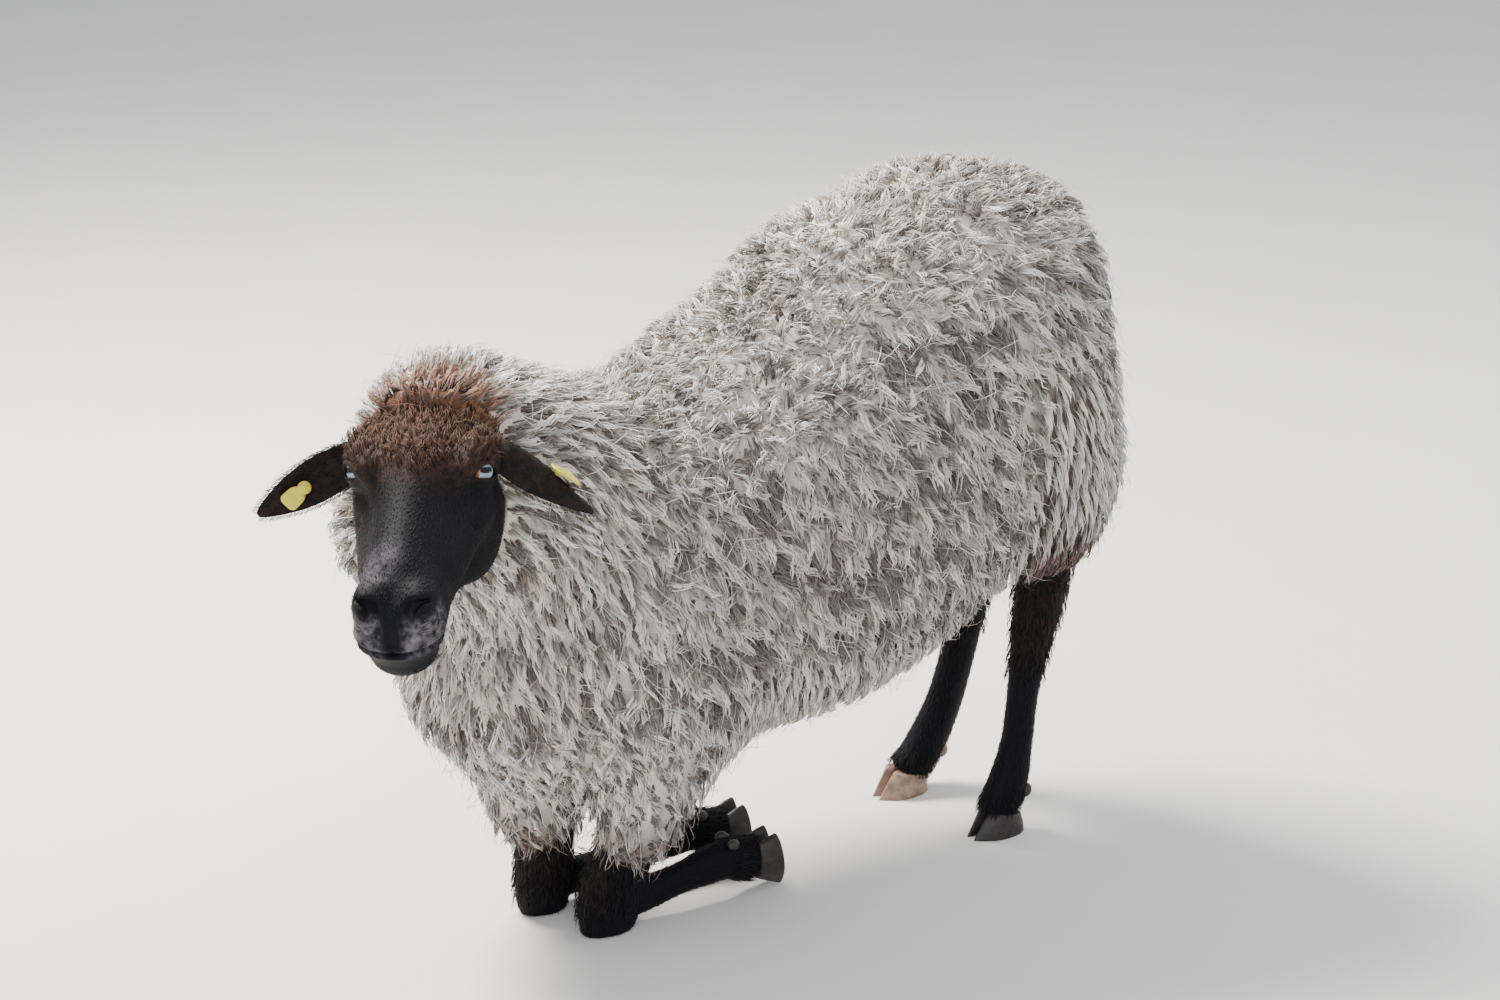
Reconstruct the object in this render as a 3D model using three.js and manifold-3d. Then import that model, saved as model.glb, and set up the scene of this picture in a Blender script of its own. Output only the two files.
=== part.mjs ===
// Life-size still sheep: a Suffolk-type ewe kneeling on both knees, head raised and turned to its left.
// Millimetres, +Z up, the sheep faces -Y and its left side is +X; the floor is z = 0.
import * as THREE from 'three';
import Module from 'manifold-3d';

const wasm = await Module();
wasm.setup();
const { Manifold, Mesh } = wasm;

// ---------- driving dimensions ----------
const ROOM = 0.5;                // slack round a limb that stands in the wool
const CUT = 0.3;                 // gap between neighbouring solids
const FLEECE_CELL = 34;          // grid step of the fleece surface
const FLEECE_LEAN = 5.5;         // detail of the fleece surface left out
const HEAD_LEAN = 2.1;           // detail of the head surface left out
const HEAD_CELL = 16;            // grid step of the head surface
const MIDDLE = [58.4, -38.8];    // middle of the overall box, moved over the origin
const HEAD_AT = [208, -477, 662]; // midpoint between the eyes
const HEAD_BACK = 84;            // the head's flat back, hidden in the wool
const HEAD_SCALE = 1.08;         // size of the head on its drawing
const HEAD_YAW = 53.3;           // head turned to the left, degrees
const HEAD_PITCH = 22.6;         // nose below the horizontal, degrees
const HEAD_ROLL = -1.8;          // left side raised, degrees
const EYE_AT = [53, -3, 9];      // left eye's centre in the head's frame
const GAZE = [0.73, -0.58, 0.36];// where the left eye looks
const EYE_R = 15;                // eyeball radius
const EAR_LENGTH = 117;          // base to tip
const EAR_WIDTH = 44;            // widest part of the ear
const EARS = {                   // root to tip, the way the hollow looks, and how deep it is at root and tip
  left: { side: 1, along: [0.745, 0, -0.667], front: [-0.542, -0.468, -0.697], cup: [34, 14] },
  right: { side: -1, along: [-0.855, -0.373, -0.361], front: [0.1, -0.85, 0.35], cup: [15, 5] },
};
const HIND_X = 81;               // hind feet from the middle plane
const FORE_X = 44;               // knees from the middle plane
const CLAW_LENGTH = 74;          // one claw, toe to heel
const CLAW_WIDTH = 25;           // one claw, across
const CLAW_HEIGHT = 38;          // sole to coronet at the toe
const CORONET_FALL = 0.18;       // how fast the coronet falls towards the heel
const TAG_PIN = 2;               // radius of the pin through the ear
const TAG_AT = 0.56;             // the pin's place along the ear
const TAG_TURN = 12;             // the tag's plate hangs to the ear's lower edge, degrees
const TAG_YELLOW = 0xd8cf3a;

// ---------- materials ----------
const tone = (color, roughness) => new THREE.MeshStandardMaterial({ color, roughness });
const FLEECE = 0xd6cab6;
const DARK = 0x2a2220;
const HORN = 0x4a3f38;

// ---------- solids from surfaces ----------
/** A manifold solid from positions [x,y,z][] and triangles [a,b,c][]. */
function solid(points, faces) {
  const vertProperties = new Float32Array(points.flat());
  const triVerts = new Uint32Array(faces.flat());
  return Manifold.ofMesh(new Mesh({ numProp: 3, vertProperties, triVerts }));
}

/** A closed solid through rings of equal, even point counts, both ends capped straight across. */
function skinRings(rings) {
  const n = rings[0].length;
  const points = rings.flat();
  const faces = [];
  for (let i = 0; i + 1 < rings.length; i++) {
    for (let j = 0; j < n; j++) {
      const a = i * n + j;
      const b = i * n + (j + 1) % n;
      faces.push([a, b, b + n], [a, b + n, a + n]);
    }
  }
  for (const [ring, flip] of [[0, true], [rings.length - 1, false]]) {
    for (let j = 0; j < n / 2; j++) {
      const [a, b, c, d] = [j, j + 1, n - j - 1, (n - j) % n].map((v) => ring * n + v);
      for (const t of [[a, b, c], [a, c, d]]) {
        if (new Set(t).size === 3) faces.push(flip ? t.reverse() : t);
      }
    }
  }
  const s = solid(points, faces);
  return s.volume() > 0 ? s : solid(points, faces.map(([a, b, c]) => [a, c, b]));
}

/** A limb: oval rings along a smooth spine. Stations are [x, y, z, halfWide, halfDeep]. */
function limb(stations, around = 12) {
  const spine = stations.map(([x, y, z]) => new THREE.Vector3(x, y, z));
  const curve = new THREE.CatmullRomCurve3(spine, false, 'centripetal');
  const rings = stations.map(([, , , w, d], i) => {
    const t = i / (stations.length - 1);
    const p = curve.getPoint(t);
    const along = curve.getTangent(t);
    const across = new THREE.Vector3(1, 0, 0).addScaledVector(along, -along.x).normalize();
    const deep = along.clone().cross(across);
    const ring = [];
    for (let j = 0; j < around; j++) {
      const a = (j / around) * Math.PI * 2;
      const q = p.clone().addScaledVector(across, w * Math.cos(a));
      ring.push(q.addScaledVector(deep, d * Math.sin(a)).toArray());
    }
    return ring;
  });
  return skinRings(rings);
}

/** A solid with every corner pushed outwards by d. */
function grown(s, d) {
  const m = s.getMesh();
  const corner = (v) => new THREE.Vector3(...[0, 1, 2].map((k) => m.vertProperties[v * m.numProp + k]));
  const points = Array.from({ length: m.vertProperties.length / m.numProp }, (_, i) => corner(i));
  const normals = points.map(() => new THREE.Vector3());
  const faces = [];
  for (let i = 0; i < m.triVerts.length; i += 3) {
    const [a, b, c] = m.triVerts.slice(i, i + 3);
    const n = points[b].clone().sub(points[a]).cross(points[c].clone().sub(points[a]));
    [a, b, c].forEach((v) => normals[v].add(n));
    faces.push([a, b, c]);
  }
  return solid(points.map((p, i) => p.addScaledVector(normals[i].normalize(), d).toArray()), faces);
}

/** A box solid of the given size, turned by Euler degrees and moved. */
function block(size, at, turn = [0, 0, 0]) {
  const g = new THREE.BoxGeometry(...size);
  const e = new THREE.Euler(...turn.map(THREE.MathUtils.degToRad), 'ZYX');
  g.applyMatrix4(new THREE.Matrix4().makeRotationFromEuler(e).setPosition(...at));
  return fromGeometry(g);
}

/** A solid from a closed three.js geometry, its doubled corners joined. */
function fromGeometry(g) {
  const pos = g.attributes.position;
  const seen = new Map();
  const points = [];
  const remap = [];
  for (let i = 0; i < pos.count; i++) {
    const p = [pos.getX(i), pos.getY(i), pos.getZ(i)];
    const key = p.map((v) => Math.round(v * 1000)).join();
    if (!seen.has(key)) {
      seen.set(key, points.length);
      points.push(p);
    }
    remap.push(seen.get(key));
  }
  const faces = [];
  const idx = g.index ? Array.from(g.index.array) : remap.map((_, i) => i);
  for (let i = 0; i < idx.length; i += 3) {
    const t = [remap[idx[i]], remap[idx[i + 1]], remap[idx[i + 2]]];
    if (t[0] !== t[1] && t[1] !== t[2] && t[2] !== t[0]) faces.push(t);
  }
  return solid(points, faces);
}

// ---------- distance shapes ----------
const sub = (a, b) => [a[0] - b[0], a[1] - b[1], a[2] - b[2]];
const dot = (a, b) => a[0] * b[0] + a[1] * b[1] + a[2] * b[2];

/** Distance to an ellipsoid: centre, half sizes, tilt about X in degrees. */
function oval(c, r, tilt = 0) {
  const s = Math.sin(THREE.MathUtils.degToRad(tilt));
  const k = Math.cos(THREE.MathUtils.degToRad(tilt));
  return (p) => {
    const [x, y0, z0] = sub(p, c);
    const y = k * y0 + s * z0;
    const z = -s * y0 + k * z0;
    const a = Math.hypot(x / r[0], y / r[1], z / r[2]);
    const b = Math.hypot(x / r[0] ** 2, y / r[1] ** 2, z / r[2] ** 2);
    return b > 1e-9 ? a * (a - 1) / b : -Math.min(...r);
  };
}

/** Distance to a rod between two balls of different radius. */
function rod(a, b, ra, rb) {
  const ab = sub(b, a);
  const l2 = dot(ab, ab);
  return (p) => {
    const t = Math.min(1, Math.max(0, dot(sub(p, a), ab) / l2));
    return Math.hypot(...sub(p, a).map((v, i) => v - ab[i] * t)) - (ra + (rb - ra) * t);
  };
}

/** Both mirror images of a shape across x = 0. */
const pair = (f) => (p) => f([Math.abs(p[0]), p[1], p[2]]);

/** Smooth union of shapes, blended over k. */
function blend(shapes, k) {
  return (p) => shapes.reduce((d, f) => {
    const e = f(p);
    const h = Math.max(k - Math.abs(d - e), 0) / k;
    return Math.min(d, e) - h * h * k * 0.25;
  }, 1e6);
}

/** The closed surface f = 0 inside a box, one point per cell it crosses. */
function surface(f, lo, hi, cell) {
  const n = lo.map((v, i) => Math.ceil((hi[i] - v) / cell) + 1);
  const at = (i, j, k) => [lo[0] + i * cell, lo[1] + j * cell, lo[2] + k * cell];
  const id = (i, j, k) => (k * n[1] + j) * n[0] + i;
  const val = new Float64Array(n[0] * n[1] * n[2]);
  for (let k = 0; k < n[2]; k++) {
    for (let j = 0; j < n[1]; j++) {
      for (let i = 0; i < n[0]; i++) val[id(i, j, k)] = f(at(i, j, k));
    }
  }
  const points = [];
  const cellPoint = new Map();
  const faces = [];
  const point = (i, j, k) => {
    const key = id(i, j, k);
    if (cellPoint.has(key)) return cellPoint.get(key);
    const sum = [0, 0, 0];
    let hits = 0;
    for (let axis = 0; axis < 3; axis++) {
      for (let m = 0; m < 4; m++) {
        const o = [0, 0, 0];
        o[(axis + 1) % 3] = m & 1;
        o[(axis + 2) % 3] = m >> 1;
        const e = [...o];
        e[axis] = 1;
        const a = val[id(i + o[0], j + o[1], k + o[2])];
        const b = val[id(i + e[0], j + e[1], k + e[2])];
        if ((a < 0) === (b < 0)) continue;
        const t = a / (a - b);
        for (let q = 0; q < 3; q++) sum[q] += o[q] + (e[q] - o[q]) * t;
        hits++;
      }
    }
    let p = at(i + sum[0] / hits, j + sum[1] / hits, k + sum[2] / hits);
    for (let round = 0; round < 2; round++) {
      const h = 0.5;
      const d = f(p);
      const g = [0, 1, 2].map((q) => {
        const s = [...p];
        s[q] += h;
        return (f(s) - d) / h;
      });
      const g2 = dot(g, g) || 1;
      p = p.map((v, q) => v - Math.max(-0.3 * cell, Math.min(0.3 * cell, (d * g[q]) / g2)));
    }
    cellPoint.set(key, points.length);
    points.push(p);
    return points.length - 1;
  };
  for (let k = 1; k < n[2] - 1; k++) {
    for (let j = 1; j < n[1] - 1; j++) {
      for (let i = 1; i < n[0] - 1; i++) {
        const a = val[id(i, j, k)];
        for (let axis = 0; axis < 3; axis++) {
          const e = [0, 0, 0];
          e[axis] = 1;
          const b = val[id(i + e[0], j + e[1], k + e[2])];
          if ((a < 0) === (b < 0)) continue;
          const u = [0, 0, 0];
          const v = [0, 0, 0];
          u[(axis + 1) % 3] = 1;
          v[(axis + 2) % 3] = 1;
          const q = [[0, 0], [1, 0], [1, 1], [0, 1]].map(([s, t]) => point(
            i - s * u[0] - t * v[0], j - s * u[1] - t * v[1], k - s * u[2] - t * v[2]));
          if (a >= 0) q.reverse();
          const w = (m) => Math.hypot(...sub(points[q[m]], points[q[m + 2]]));
          if (w(0) < w(1)) faces.push([q[0], q[1], q[2]], [q[0], q[2], q[3]]);
          else faces.push([q[1], q[2], q[3]], [q[1], q[3], q[0]]);
        }
      }
    }
  }
  return solid(points, faces);
}

// ---------- fleece: trunk, neck, shoulders, thighs and woolly upper legs ----------
const fleeceShapes = [
  oval([0, 112, 486], [250, 352, 264], 23),           // barrel
  oval([0, 190, 648], [185, 150, 180], 15),           // loin
  oval([0, 325, 628], [224, 160, 236], 10),           // rump
  oval([0, 392, 702], [172, 108, 140], -20),          // croup behind
  oval([0, -115, 424], [208, 215, 212], 20),          // shoulders
  oval([0, -266, 345], [150, 144, 160], 30),          // brisket
  rod([0, -190, 498], [100, -390, 650], 165, 112),    // neck
  rod([40, -330, 540], [72, -428, 556], 125, 90),     // ruff under the throat
  rod([158, -471, 719], [187, -433, 721], 36, 36),    // wool behind the ears
  pair(oval([122, 368, 532], [100, 110, 178], 0)),    // thighs
  pair(rod([112, 402, 480], [95, 432, 404], 78, 52)), // woolly gaskins
  rod([80, -120, 320], [50, -145, 135], 105, 60),     // left woolly foreleg
  rod([-70, -230, 320], [-50, -230, 138], 112, 60),   // right woolly foreleg
];
const fleece = blend(fleeceShapes, 60);

// ---------- head, in its own frame: x left, y back, z up, between the eyes ----------
const headShapes = [
  oval([0, 48, -10], [63, 56, 50]),                      // cranium
  oval([0, 12, 6], [63, 60, 34]),                        // forehead
  pair(oval([53, 5, 8], [20, 27, 19])),                  // eye rims
  pair(oval([36, 26, -76], [28, 66, 54])),               // cheeks
  rod([0, 0, -34], [0, -120, -30], 55, 38),              // face
  pair(rod([46, -12, -30], [30, -96, -34], 20, 16)),     // ridges below the eyes
  rod([0, -5, 8], [0, -125, -10], 33, 26),               // bridge of the nose
  oval([0, -148, -34], [40, 44, 37]),                    // muzzle
  oval([0, -168, -40], [35, 25, 24]),                    // upper lip
  pair(oval([23, -162, -8], [14, 19, 15])),              // nostril wings
  oval([0, -162, -70], [27, 24, 14]),                    // chin
  rod([0, 50, -102], [0, -150, -67], 42, 23),            // jaw
];
const headShape = blend(headShapes, 20);
const headLocal = surface(headShape, [-101, -220, -160], [101, 132, 80], HEAD_CELL).simplify(HEAD_LEAN);
const headTurn = new THREE.Matrix4().makeRotationFromEuler(
  new THREE.Euler(...[HEAD_PITCH, HEAD_ROLL, HEAD_YAW].map(THREE.MathUtils.degToRad), 'ZXY'))
  .scale(new THREE.Vector3(HEAD_SCALE, HEAD_SCALE, HEAD_SCALE)).setPosition(...HEAD_AT);
const placeHead = (s) => s.transform(headTurn.elements);

// ---------- claws ----------
/** Height of the coronet above the sole at a place along the claw. */
const coronet = (y) => CLAW_HEIGHT - CORONET_FALL * (y + CLAW_LENGTH / 2);

/** One claw standing on its sole at z = 0, toe towards -Y. */
function claw(side) {
  const rings = [[0, 1, 0], [0.5, 0.95, 12], [1, 0.82, 23]].map(([t, k, back]) => {
    const ring = [];
    for (let j = 0; j < 12; j++) {
      const a = (j / 12) * Math.PI * 2;
      const along = -Math.cos(a);
      const taper = along < 0 ? 1 - 0.6 * along * along : 1;
      const bulge = Math.sin(a) * side > 0 ? 1 : 0.55;
      const x = Math.sin(a) * CLAW_WIDTH * 0.62 * taper * bulge * k;
      const y = along * CLAW_LENGTH * 0.5 * (along < 0 ? 1 : k) + back * (along < 0 ? -along : 0.1);
      ring.push([x, y, t * coronet(y)]);
    }
    return ring;
  });
  return skinRings(rings);
}

/** A matrix from Euler degrees and a place. */
const placed = (at, turn) => new THREE.Matrix4().makeRotationFromEuler(
  new THREE.Euler(...turn.map(THREE.MathUtils.degToRad), 'ZYX')).setPosition(...at);

/** One claw of a foot: spread by a half gap from its neighbour, turned and moved. */
function footClaw(foot, side) {
  const half = CLAW_WIDTH * 0.34 + 1.2;
  return claw(side).rotate(0, 0, side * -5).translate(side * half, 0, 0)
    .transform(placed(foot.at, foot.turn).elements);
}

/** Everything of a foot below its coronet, as a block to take away. */
function belowCoronet(foot) {
  const tilt = THREE.MathUtils.radToDeg(-Math.atan(CORONET_FALL));
  const g = block([90, 110, 60], [0, 0, -30]).rotate(tilt, 0, 0)
    .translate(0, 0, coronet(0) + CUT);
  return g.transform(placed(foot.at, foot.turn).elements);
}

/** One dewclaw behind the fetlock. */
function dewclaw(foot, side) {
  const g = new THREE.SphereGeometry(1, 7, 4);
  g.scale(6, 7, 9);
  const [x, y, z] = foot.dew;
  return fromGeometry(g).rotate(foot.dewTurn, 0, side * 14).translate(x + side * 13, y, z);
}

// ---------- ears and their tags ----------
/** Place, direction and faces of an ear in the world: x across, y out of the hollow, z along. */
function earFrame({ side, along, front }) {
  const z = new THREE.Vector3(...along).normalize();
  const y = new THREE.Vector3(...front);
  y.addScaledVector(z, -y.dot(z)).normalize();
  const local = new THREE.Matrix4().makeBasis(z.clone().cross(y), y, z).setPosition(side * 60, 36, 0);
  return headTurn.clone().multiply(local);
}

/** A leaf-shaped ear, cupped to its front, flatter where its root stands in the wool. */
function ear(form) {
  const wide = [0.70, 0.88, 1, 0.98, 0.84, 0.56, 0.12];
  const rings = wide.map((k, i) => {
    const t = i / (wide.length - 1);
    const thick = 8 - 4 * t;
    const deep = i ? form.cup[0] + (form.cup[1] - form.cup[0]) * t : form.cup[0] * 0.45;
    const ring = [];
    for (let j = 0; j < 12; j++) {
      const a = (j / 12) * Math.PI * 2;
      const u = Math.cos(a);
      const lift = deep * k * (u * u - 0.5) + thick * 0.5 * Math.sin(a);
      ring.push([u * k * EAR_WIDTH / 2, lift, t * EAR_LENGTH]);
    }
    return ring;
  });
  return skinRings(rings).transform(earFrame(form).elements);
}

/** A flat plate with the given outline, from one height to another along Y of the ear's frame. */
function plate(outline, from, to) {
  const shape = new THREE.Shape(outline.map(([x, z]) => new THREE.Vector2(x, z)));
  const g = new THREE.ExtrudeGeometry(shape, { depth: to - from, bevelEnabled: false, steps: 1 });
  g.rotateX(Math.PI / 2).translate(0, to, 0);
  return fromGeometry(g);
}

/** A round bar along Y of the ear's frame. */
function bar(r, from, to, x, z, n = 10) {
  const g = new THREE.CylinderGeometry(r, r, to - from, n);
  g.translate(x, (from + to) / 2, z);
  return fromGeometry(g);
}

/** The two halves of an ear tag and the hole they need, in the world. */
function tag(form) {
  const at = EAR_LENGTH * TAG_AT;
  const mid = -0.465 * (form.cup[0] + (form.cup[1] - form.cup[0]) * TAG_AT);
  const lift = form.cup[0] * 0.17;
  const c = Math.cos(THREE.MathUtils.degToRad(TAG_TURN));
  const s = Math.sin(THREE.MathUtils.degToRad(TAG_TURN)) * form.side;
  const hang = (outline) => outline.map(([x, z]) => [c * x + s * z, c * z - s * x + at]);
  const bell = hang([[-5, 3], [5, 3], [9, 9], [9.5, 25], [-9.5, 25], [-9, 9]]);
  const flag = hang([[-8, -8], [8, -8], [11, 6], [16, 22], [-16, 22], [-11, 6]]);
  const front = Manifold.union([
    bar(6.5, lift, lift + 3, 0, at), plate(bell, lift + 0.4, lift + 2.2),
    bar(TAG_PIN, mid - 9.2, lift + 2, 0, at, 8)]);
  const back = Manifold.union([plate(flag, mid - 8.1, mid - 6.3), bar(6, mid - 8.4, mid - 4.2, 0, at)])
    .subtract(bar(TAG_PIN + CUT, mid - 12, mid, 0, at, 8));
  const world = (m) => m.transform(earFrame(form).elements);
  return { front: world(front), back: world(back), hole: world(bar(TAG_PIN + CUT, -40, 40, 0, at, 8)) };
}

// ---------- bare legs ----------
const feet = {
  hind_left: { at: [HIND_X, 357, 0], turn: [0, 0, 0], dew: [HIND_X, 398, 54], dewTurn: -20,
    cuts: [[[HIND_X, 400, 222], [-8, 0, 0]], [[HIND_X, 385, 100], [-14, 0, 0]]],
    leg: [[HIND_X + 6, 426, 450, 30, 52], [HIND_X + 3, 423, 378, 28, 50], [HIND_X + 1, 420, 332, 25, 40],
      [HIND_X, 415, 292, 23, 36], [HIND_X, 406, 245, 20, 29], [HIND_X, 397, 185, 18, 23],
      [HIND_X, 390, 122, 18, 23], [HIND_X, 380, 74, 22, 28], [HIND_X, 367, 42, 23, 29],
      [HIND_X, 360, 18, 22, 29]] },
  hind_right: { at: [-HIND_X, 325, 0], turn: [0, 0, 0], dew: [-HIND_X, 386, 50], dewTurn: -34,
    cuts: [[[-HIND_X, 422, 215], [-14, 0, 0]], [[-HIND_X, 388, 102], [-24, 0, 0]]],
    leg: [[-HIND_X - 6, 430, 450, 30, 52], [-HIND_X - 3, 433, 378, 28, 50],
      [-HIND_X - 1, 435, 328, 25, 40], [-HIND_X, 433, 285, 23, 37], [-HIND_X, 427, 238, 21, 31],
      [-HIND_X, 416, 178, 19, 27], [-HIND_X, 397, 118, 19, 28], [-HIND_X, 374, 72, 22, 30],
      [-HIND_X, 353, 43, 23, 30], [-HIND_X, 332, 16, 22, 30]] },
  fore_left: { at: [FORE_X, 50, 34.6], turn: [98, 0, 0], dew: [FORE_X, -16, 71], dewTurn: 75,
    cuts: [[[FORE_X, -128, 34], [90, 0, 0]], [[FORE_X, -62, 42], [90, 0, 0]]],
    leg: [[53, -140, 168, 32, 42], [48, -160, 100, 29, 39],
      [FORE_X, -176, 50, 28, 42], [FORE_X, -182, 12, 26, 38], [FORE_X, -182, -12, 18, 28]],
    shin: [[FORE_X, -182, 32, 24, 29], [FORE_X, -130, 34, 19, 23], [FORE_X, -84, 40, 17, 21],
      [FORE_X, -46, 46, 20, 25], [FORE_X, -20, 48, 21, 26], [FORE_X, 4, 43, 22, 28],
      [FORE_X, 32, 37, 22, 29]] },
  fore_right: { at: [-FORE_X, 60, 34.6], turn: [98, 0, 0], dew: [-FORE_X, -6, 71], dewTurn: 75,
    cuts: [[[-FORE_X, -168, 34], [90, 0, 0]], [[-FORE_X, -56, 42], [90, 0, 0]]],
    leg: [[-53, -198, 168, 32, 42], [-48, -213, 100, 29, 38],
      [-FORE_X, -218, 50, 28, 38], [-FORE_X, -221, 12, 26, 34], [-FORE_X, -221, -12, 18, 24]],
    shin: [[-FORE_X, -221, 32, 24, 29], [-FORE_X, -172, 34, 19, 23], [-FORE_X, -96, 39, 17, 21],
      [-FORE_X, -38, 46, 20, 25], [-FORE_X, -10, 48, 21, 26], [-FORE_X, 14, 43, 22, 28],
      [-FORE_X, 42, 37, 22, 29]] },
};

// ---------- assembly ----------
const parts = [];
/** Keeps one finished solid, cut off level with the floor. */
function keep(name, s, color, rough = 0.9) {
  parts.push([name, s.subtract(block([1600, 2000, 200], [0, 0, -100])), color, rough]);
}
/** The pieces of a solid, largest first. */
const pieces = (s) => s.decompose().sort((p, q) => q.volume() - p.volume());
/** The piece whose middle lies nearest to a point. */
function nearest(list, at) {
  const middle = (s) => {
    const { min, max } = s.boundingBox();
    return [0, 1, 2].map((k) => (min[k] + max[k]) / 2);
  };
  return list.reduce((p, q) => (Math.hypot(...sub(middle(q), at)) < Math.hypot(...sub(middle(p), at)) ? q : p));
}

// the fleece, with room for everything that stands in it
const tailStations = [[0, 440, 726, 34, 26], [0, 486, 700, 36, 30], [0, 506, 655, 36, 30],
  [0, 508, 610, 32, 26], [0, 504, 578, 20, 15]];
const tail = limb(tailStations);
const head = placeHead(headLocal.subtract(block([300, 200, 400], [0, HEAD_BACK + 100, 0])));
const headRoom = grown(head, ROOM);
const ears = Object.fromEntries(Object.entries(EARS).map(([hand, form]) => [hand, ear(form)]));
const bare = Object.fromEntries(Object.entries(feet).map(([leg, foot]) => [
  leg, foot.shin ? limb(foot.leg).add(limb(foot.shin)) : limb(foot.leg)]));
const stands = [tail, ears.left.hull(), ears.right.hull()];  // the ears' hollows stay clear of wool
for (const { leg, shin } of Object.values(feet)) stands.push(limb(leg), ...(shin ? [limb(shin)] : []));
const room = [headRoom, ...stands.map((p) => grown(p, ROOM))];
const slabs = [
  block([640, 640, CUT], [25, -250, 535], [48, -14, -20]),     // neck from trunk
  block([360, 350, CUT], [0, -190, 182]),                      // forearms from chest
  block([CUT, 350, 140], [0, -190, 112]),                      // left forearm from right
];
const wool = surface(fleece, [-330, -640, 20], [330, 600, 900], FLEECE_CELL).simplify(FLEECE_LEAN)
  .subtract(Manifold.union([...room, ...slabs]));
/** A round bar across both thighs, its wall their upper edge. */
const thighBar = (r) => {
  const g = new THREE.CylinderGeometry(r, r, 640, 48);
  g.rotateZ(Math.PI / 2).translate(0, 440, 455);
  return fromGeometry(g);
};
const fleecePieces = [...pieces(wool.subtract(thighBar(125 + CUT))),
  ...pieces(wool.intersect(thighBar(125)).subtract(block([CUT, 400, 400], [0, 440, 455])))];
const woolly = { trunk: [0, 120, 500], neck: [60, -380, 600], thigh_left: [110, 410, 450],
  thigh_right: [-110, 410, 450], forearm_left: [60, -140, 130], forearm_right: [-60, -225, 130] };
for (const [name, at] of Object.entries(woolly)) keep(name, nearest(fleecePieces, at), FLEECE, 1);
keep('tail', tail, FLEECE, 1);

// the head: sockets for the eyes, the lower jaw parted at the mouth
const eyeBall = (side, r) => placeHead(fromGeometry(new THREE.SphereGeometry(r, 12, 8))
  .translate(side * EYE_AT[0], EYE_AT[1], EYE_AT[2]));
const lidGap = (side) => {
  const [x, y, z] = EYE_AT.map((v, k) => v + 17 * GAZE[k]);
  return placeHead(fromGeometry(new THREE.SphereGeometry(1, 10, 6).scale(12, 12, 8)).translate(side * x, y, z));
};
const mouth = placeHead(block([220, 420, CUT], [0, -40, -64], [-9.1, 0, 0]));
const skull = head.subtract(Manifold.union([
  ...[1, -1].flatMap((side) => [eyeBall(side, EYE_R + CUT), lidGap(side)]), mouth]));
const [headPiece, jawPiece] = pieces(skull);
keep('head', headPiece, DARK);
keep('lower_jaw', jawPiece, DARK);
for (const [side, hand] of [[1, 'left'], [-1, 'right']]) {
  const t = tag(EARS[hand]);
  keep('eye_' + hand, eyeBall(side, EYE_R), 0x9aa7b0, 0.1);
  keep('ear_' + hand, ears[hand].subtract(Manifold.union([headRoom, t.hole])), DARK);
  keep('ear_tag_front_' + hand, t.front, TAG_YELLOW, 0.5);
  keep('ear_tag_back_' + hand, t.back, TAG_YELLOW, 0.5);
}

// the bare legs, parted at the joints, with their claws and dewclaws
for (const [leg, foot] of Object.entries(feet)) {
  for (const [side, where] of [[1, 'a'], [-1, 'b']]) {
    keep('claw_' + leg + '_' + where, footClaw(foot, side), HORN, 0.6);
    keep('dewclaw_' + leg + '_' + where, dewclaw(foot, side).subtract(grown(bare[leg], CUT)), HORN, 0.6);
  }
  const cuts = foot.cuts.map(([at, turn]) => block([120, 120, CUT], at, turn));
  const [near, far] = foot.cuts.map(([at]) => at);
  const list = pieces(bare[leg].subtract(Manifold.union([belowCoronet(foot), ...cuts]))).slice(0, 3);
  const top = foot.leg[1];
  const names = foot.shin ? ['knee_', 'cannon_', 'foot_'] : ['hock_', 'cannon_', 'foot_'];
  const end = foot.shin ? [far[0], 0, 35] : [far[0], foot.at[1] + 20, 50];
  const mids = [top, near.map((v, i) => (v + far[i]) / 2), end];
  names.forEach((n, i) => keep(n + leg, nearest(list, mids[i]), DARK));
}

const group = new THREE.Group();
group.position.set(...MIDDLE.map((v) => -v), 0);
for (const [name, s, color, rough] of parts) {
  const m = s.simplify(0.08).getMesh();
  const p = new Float32Array(m.triVerts.length * 3);
  m.triVerts.forEach((v, i) => {
    for (let k = 0; k < 3; k++) p[i * 3 + k] = m.vertProperties[v * m.numProp + k];
  });
  const g = new THREE.BufferGeometry();
  g.setAttribute('position', new THREE.BufferAttribute(p, 3));
  g.computeVertexNormals();
  const mesh = new THREE.Mesh(g, tone(color, rough));
  mesh.name = name;
  group.add(mesh);
}
export default group;
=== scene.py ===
"""Life-size still sheep, down on its knees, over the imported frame.

One skin, fleece in locks, short hair, eyes, ear tags and claws. Shapes are drawn in millimetres.
"""
import logging
import math
from dataclasses import dataclass, field
from enum import Enum
from typing import Callable, Iterable

import bpy
import numpy as np
from mathutils import Matrix, Vector


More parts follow.
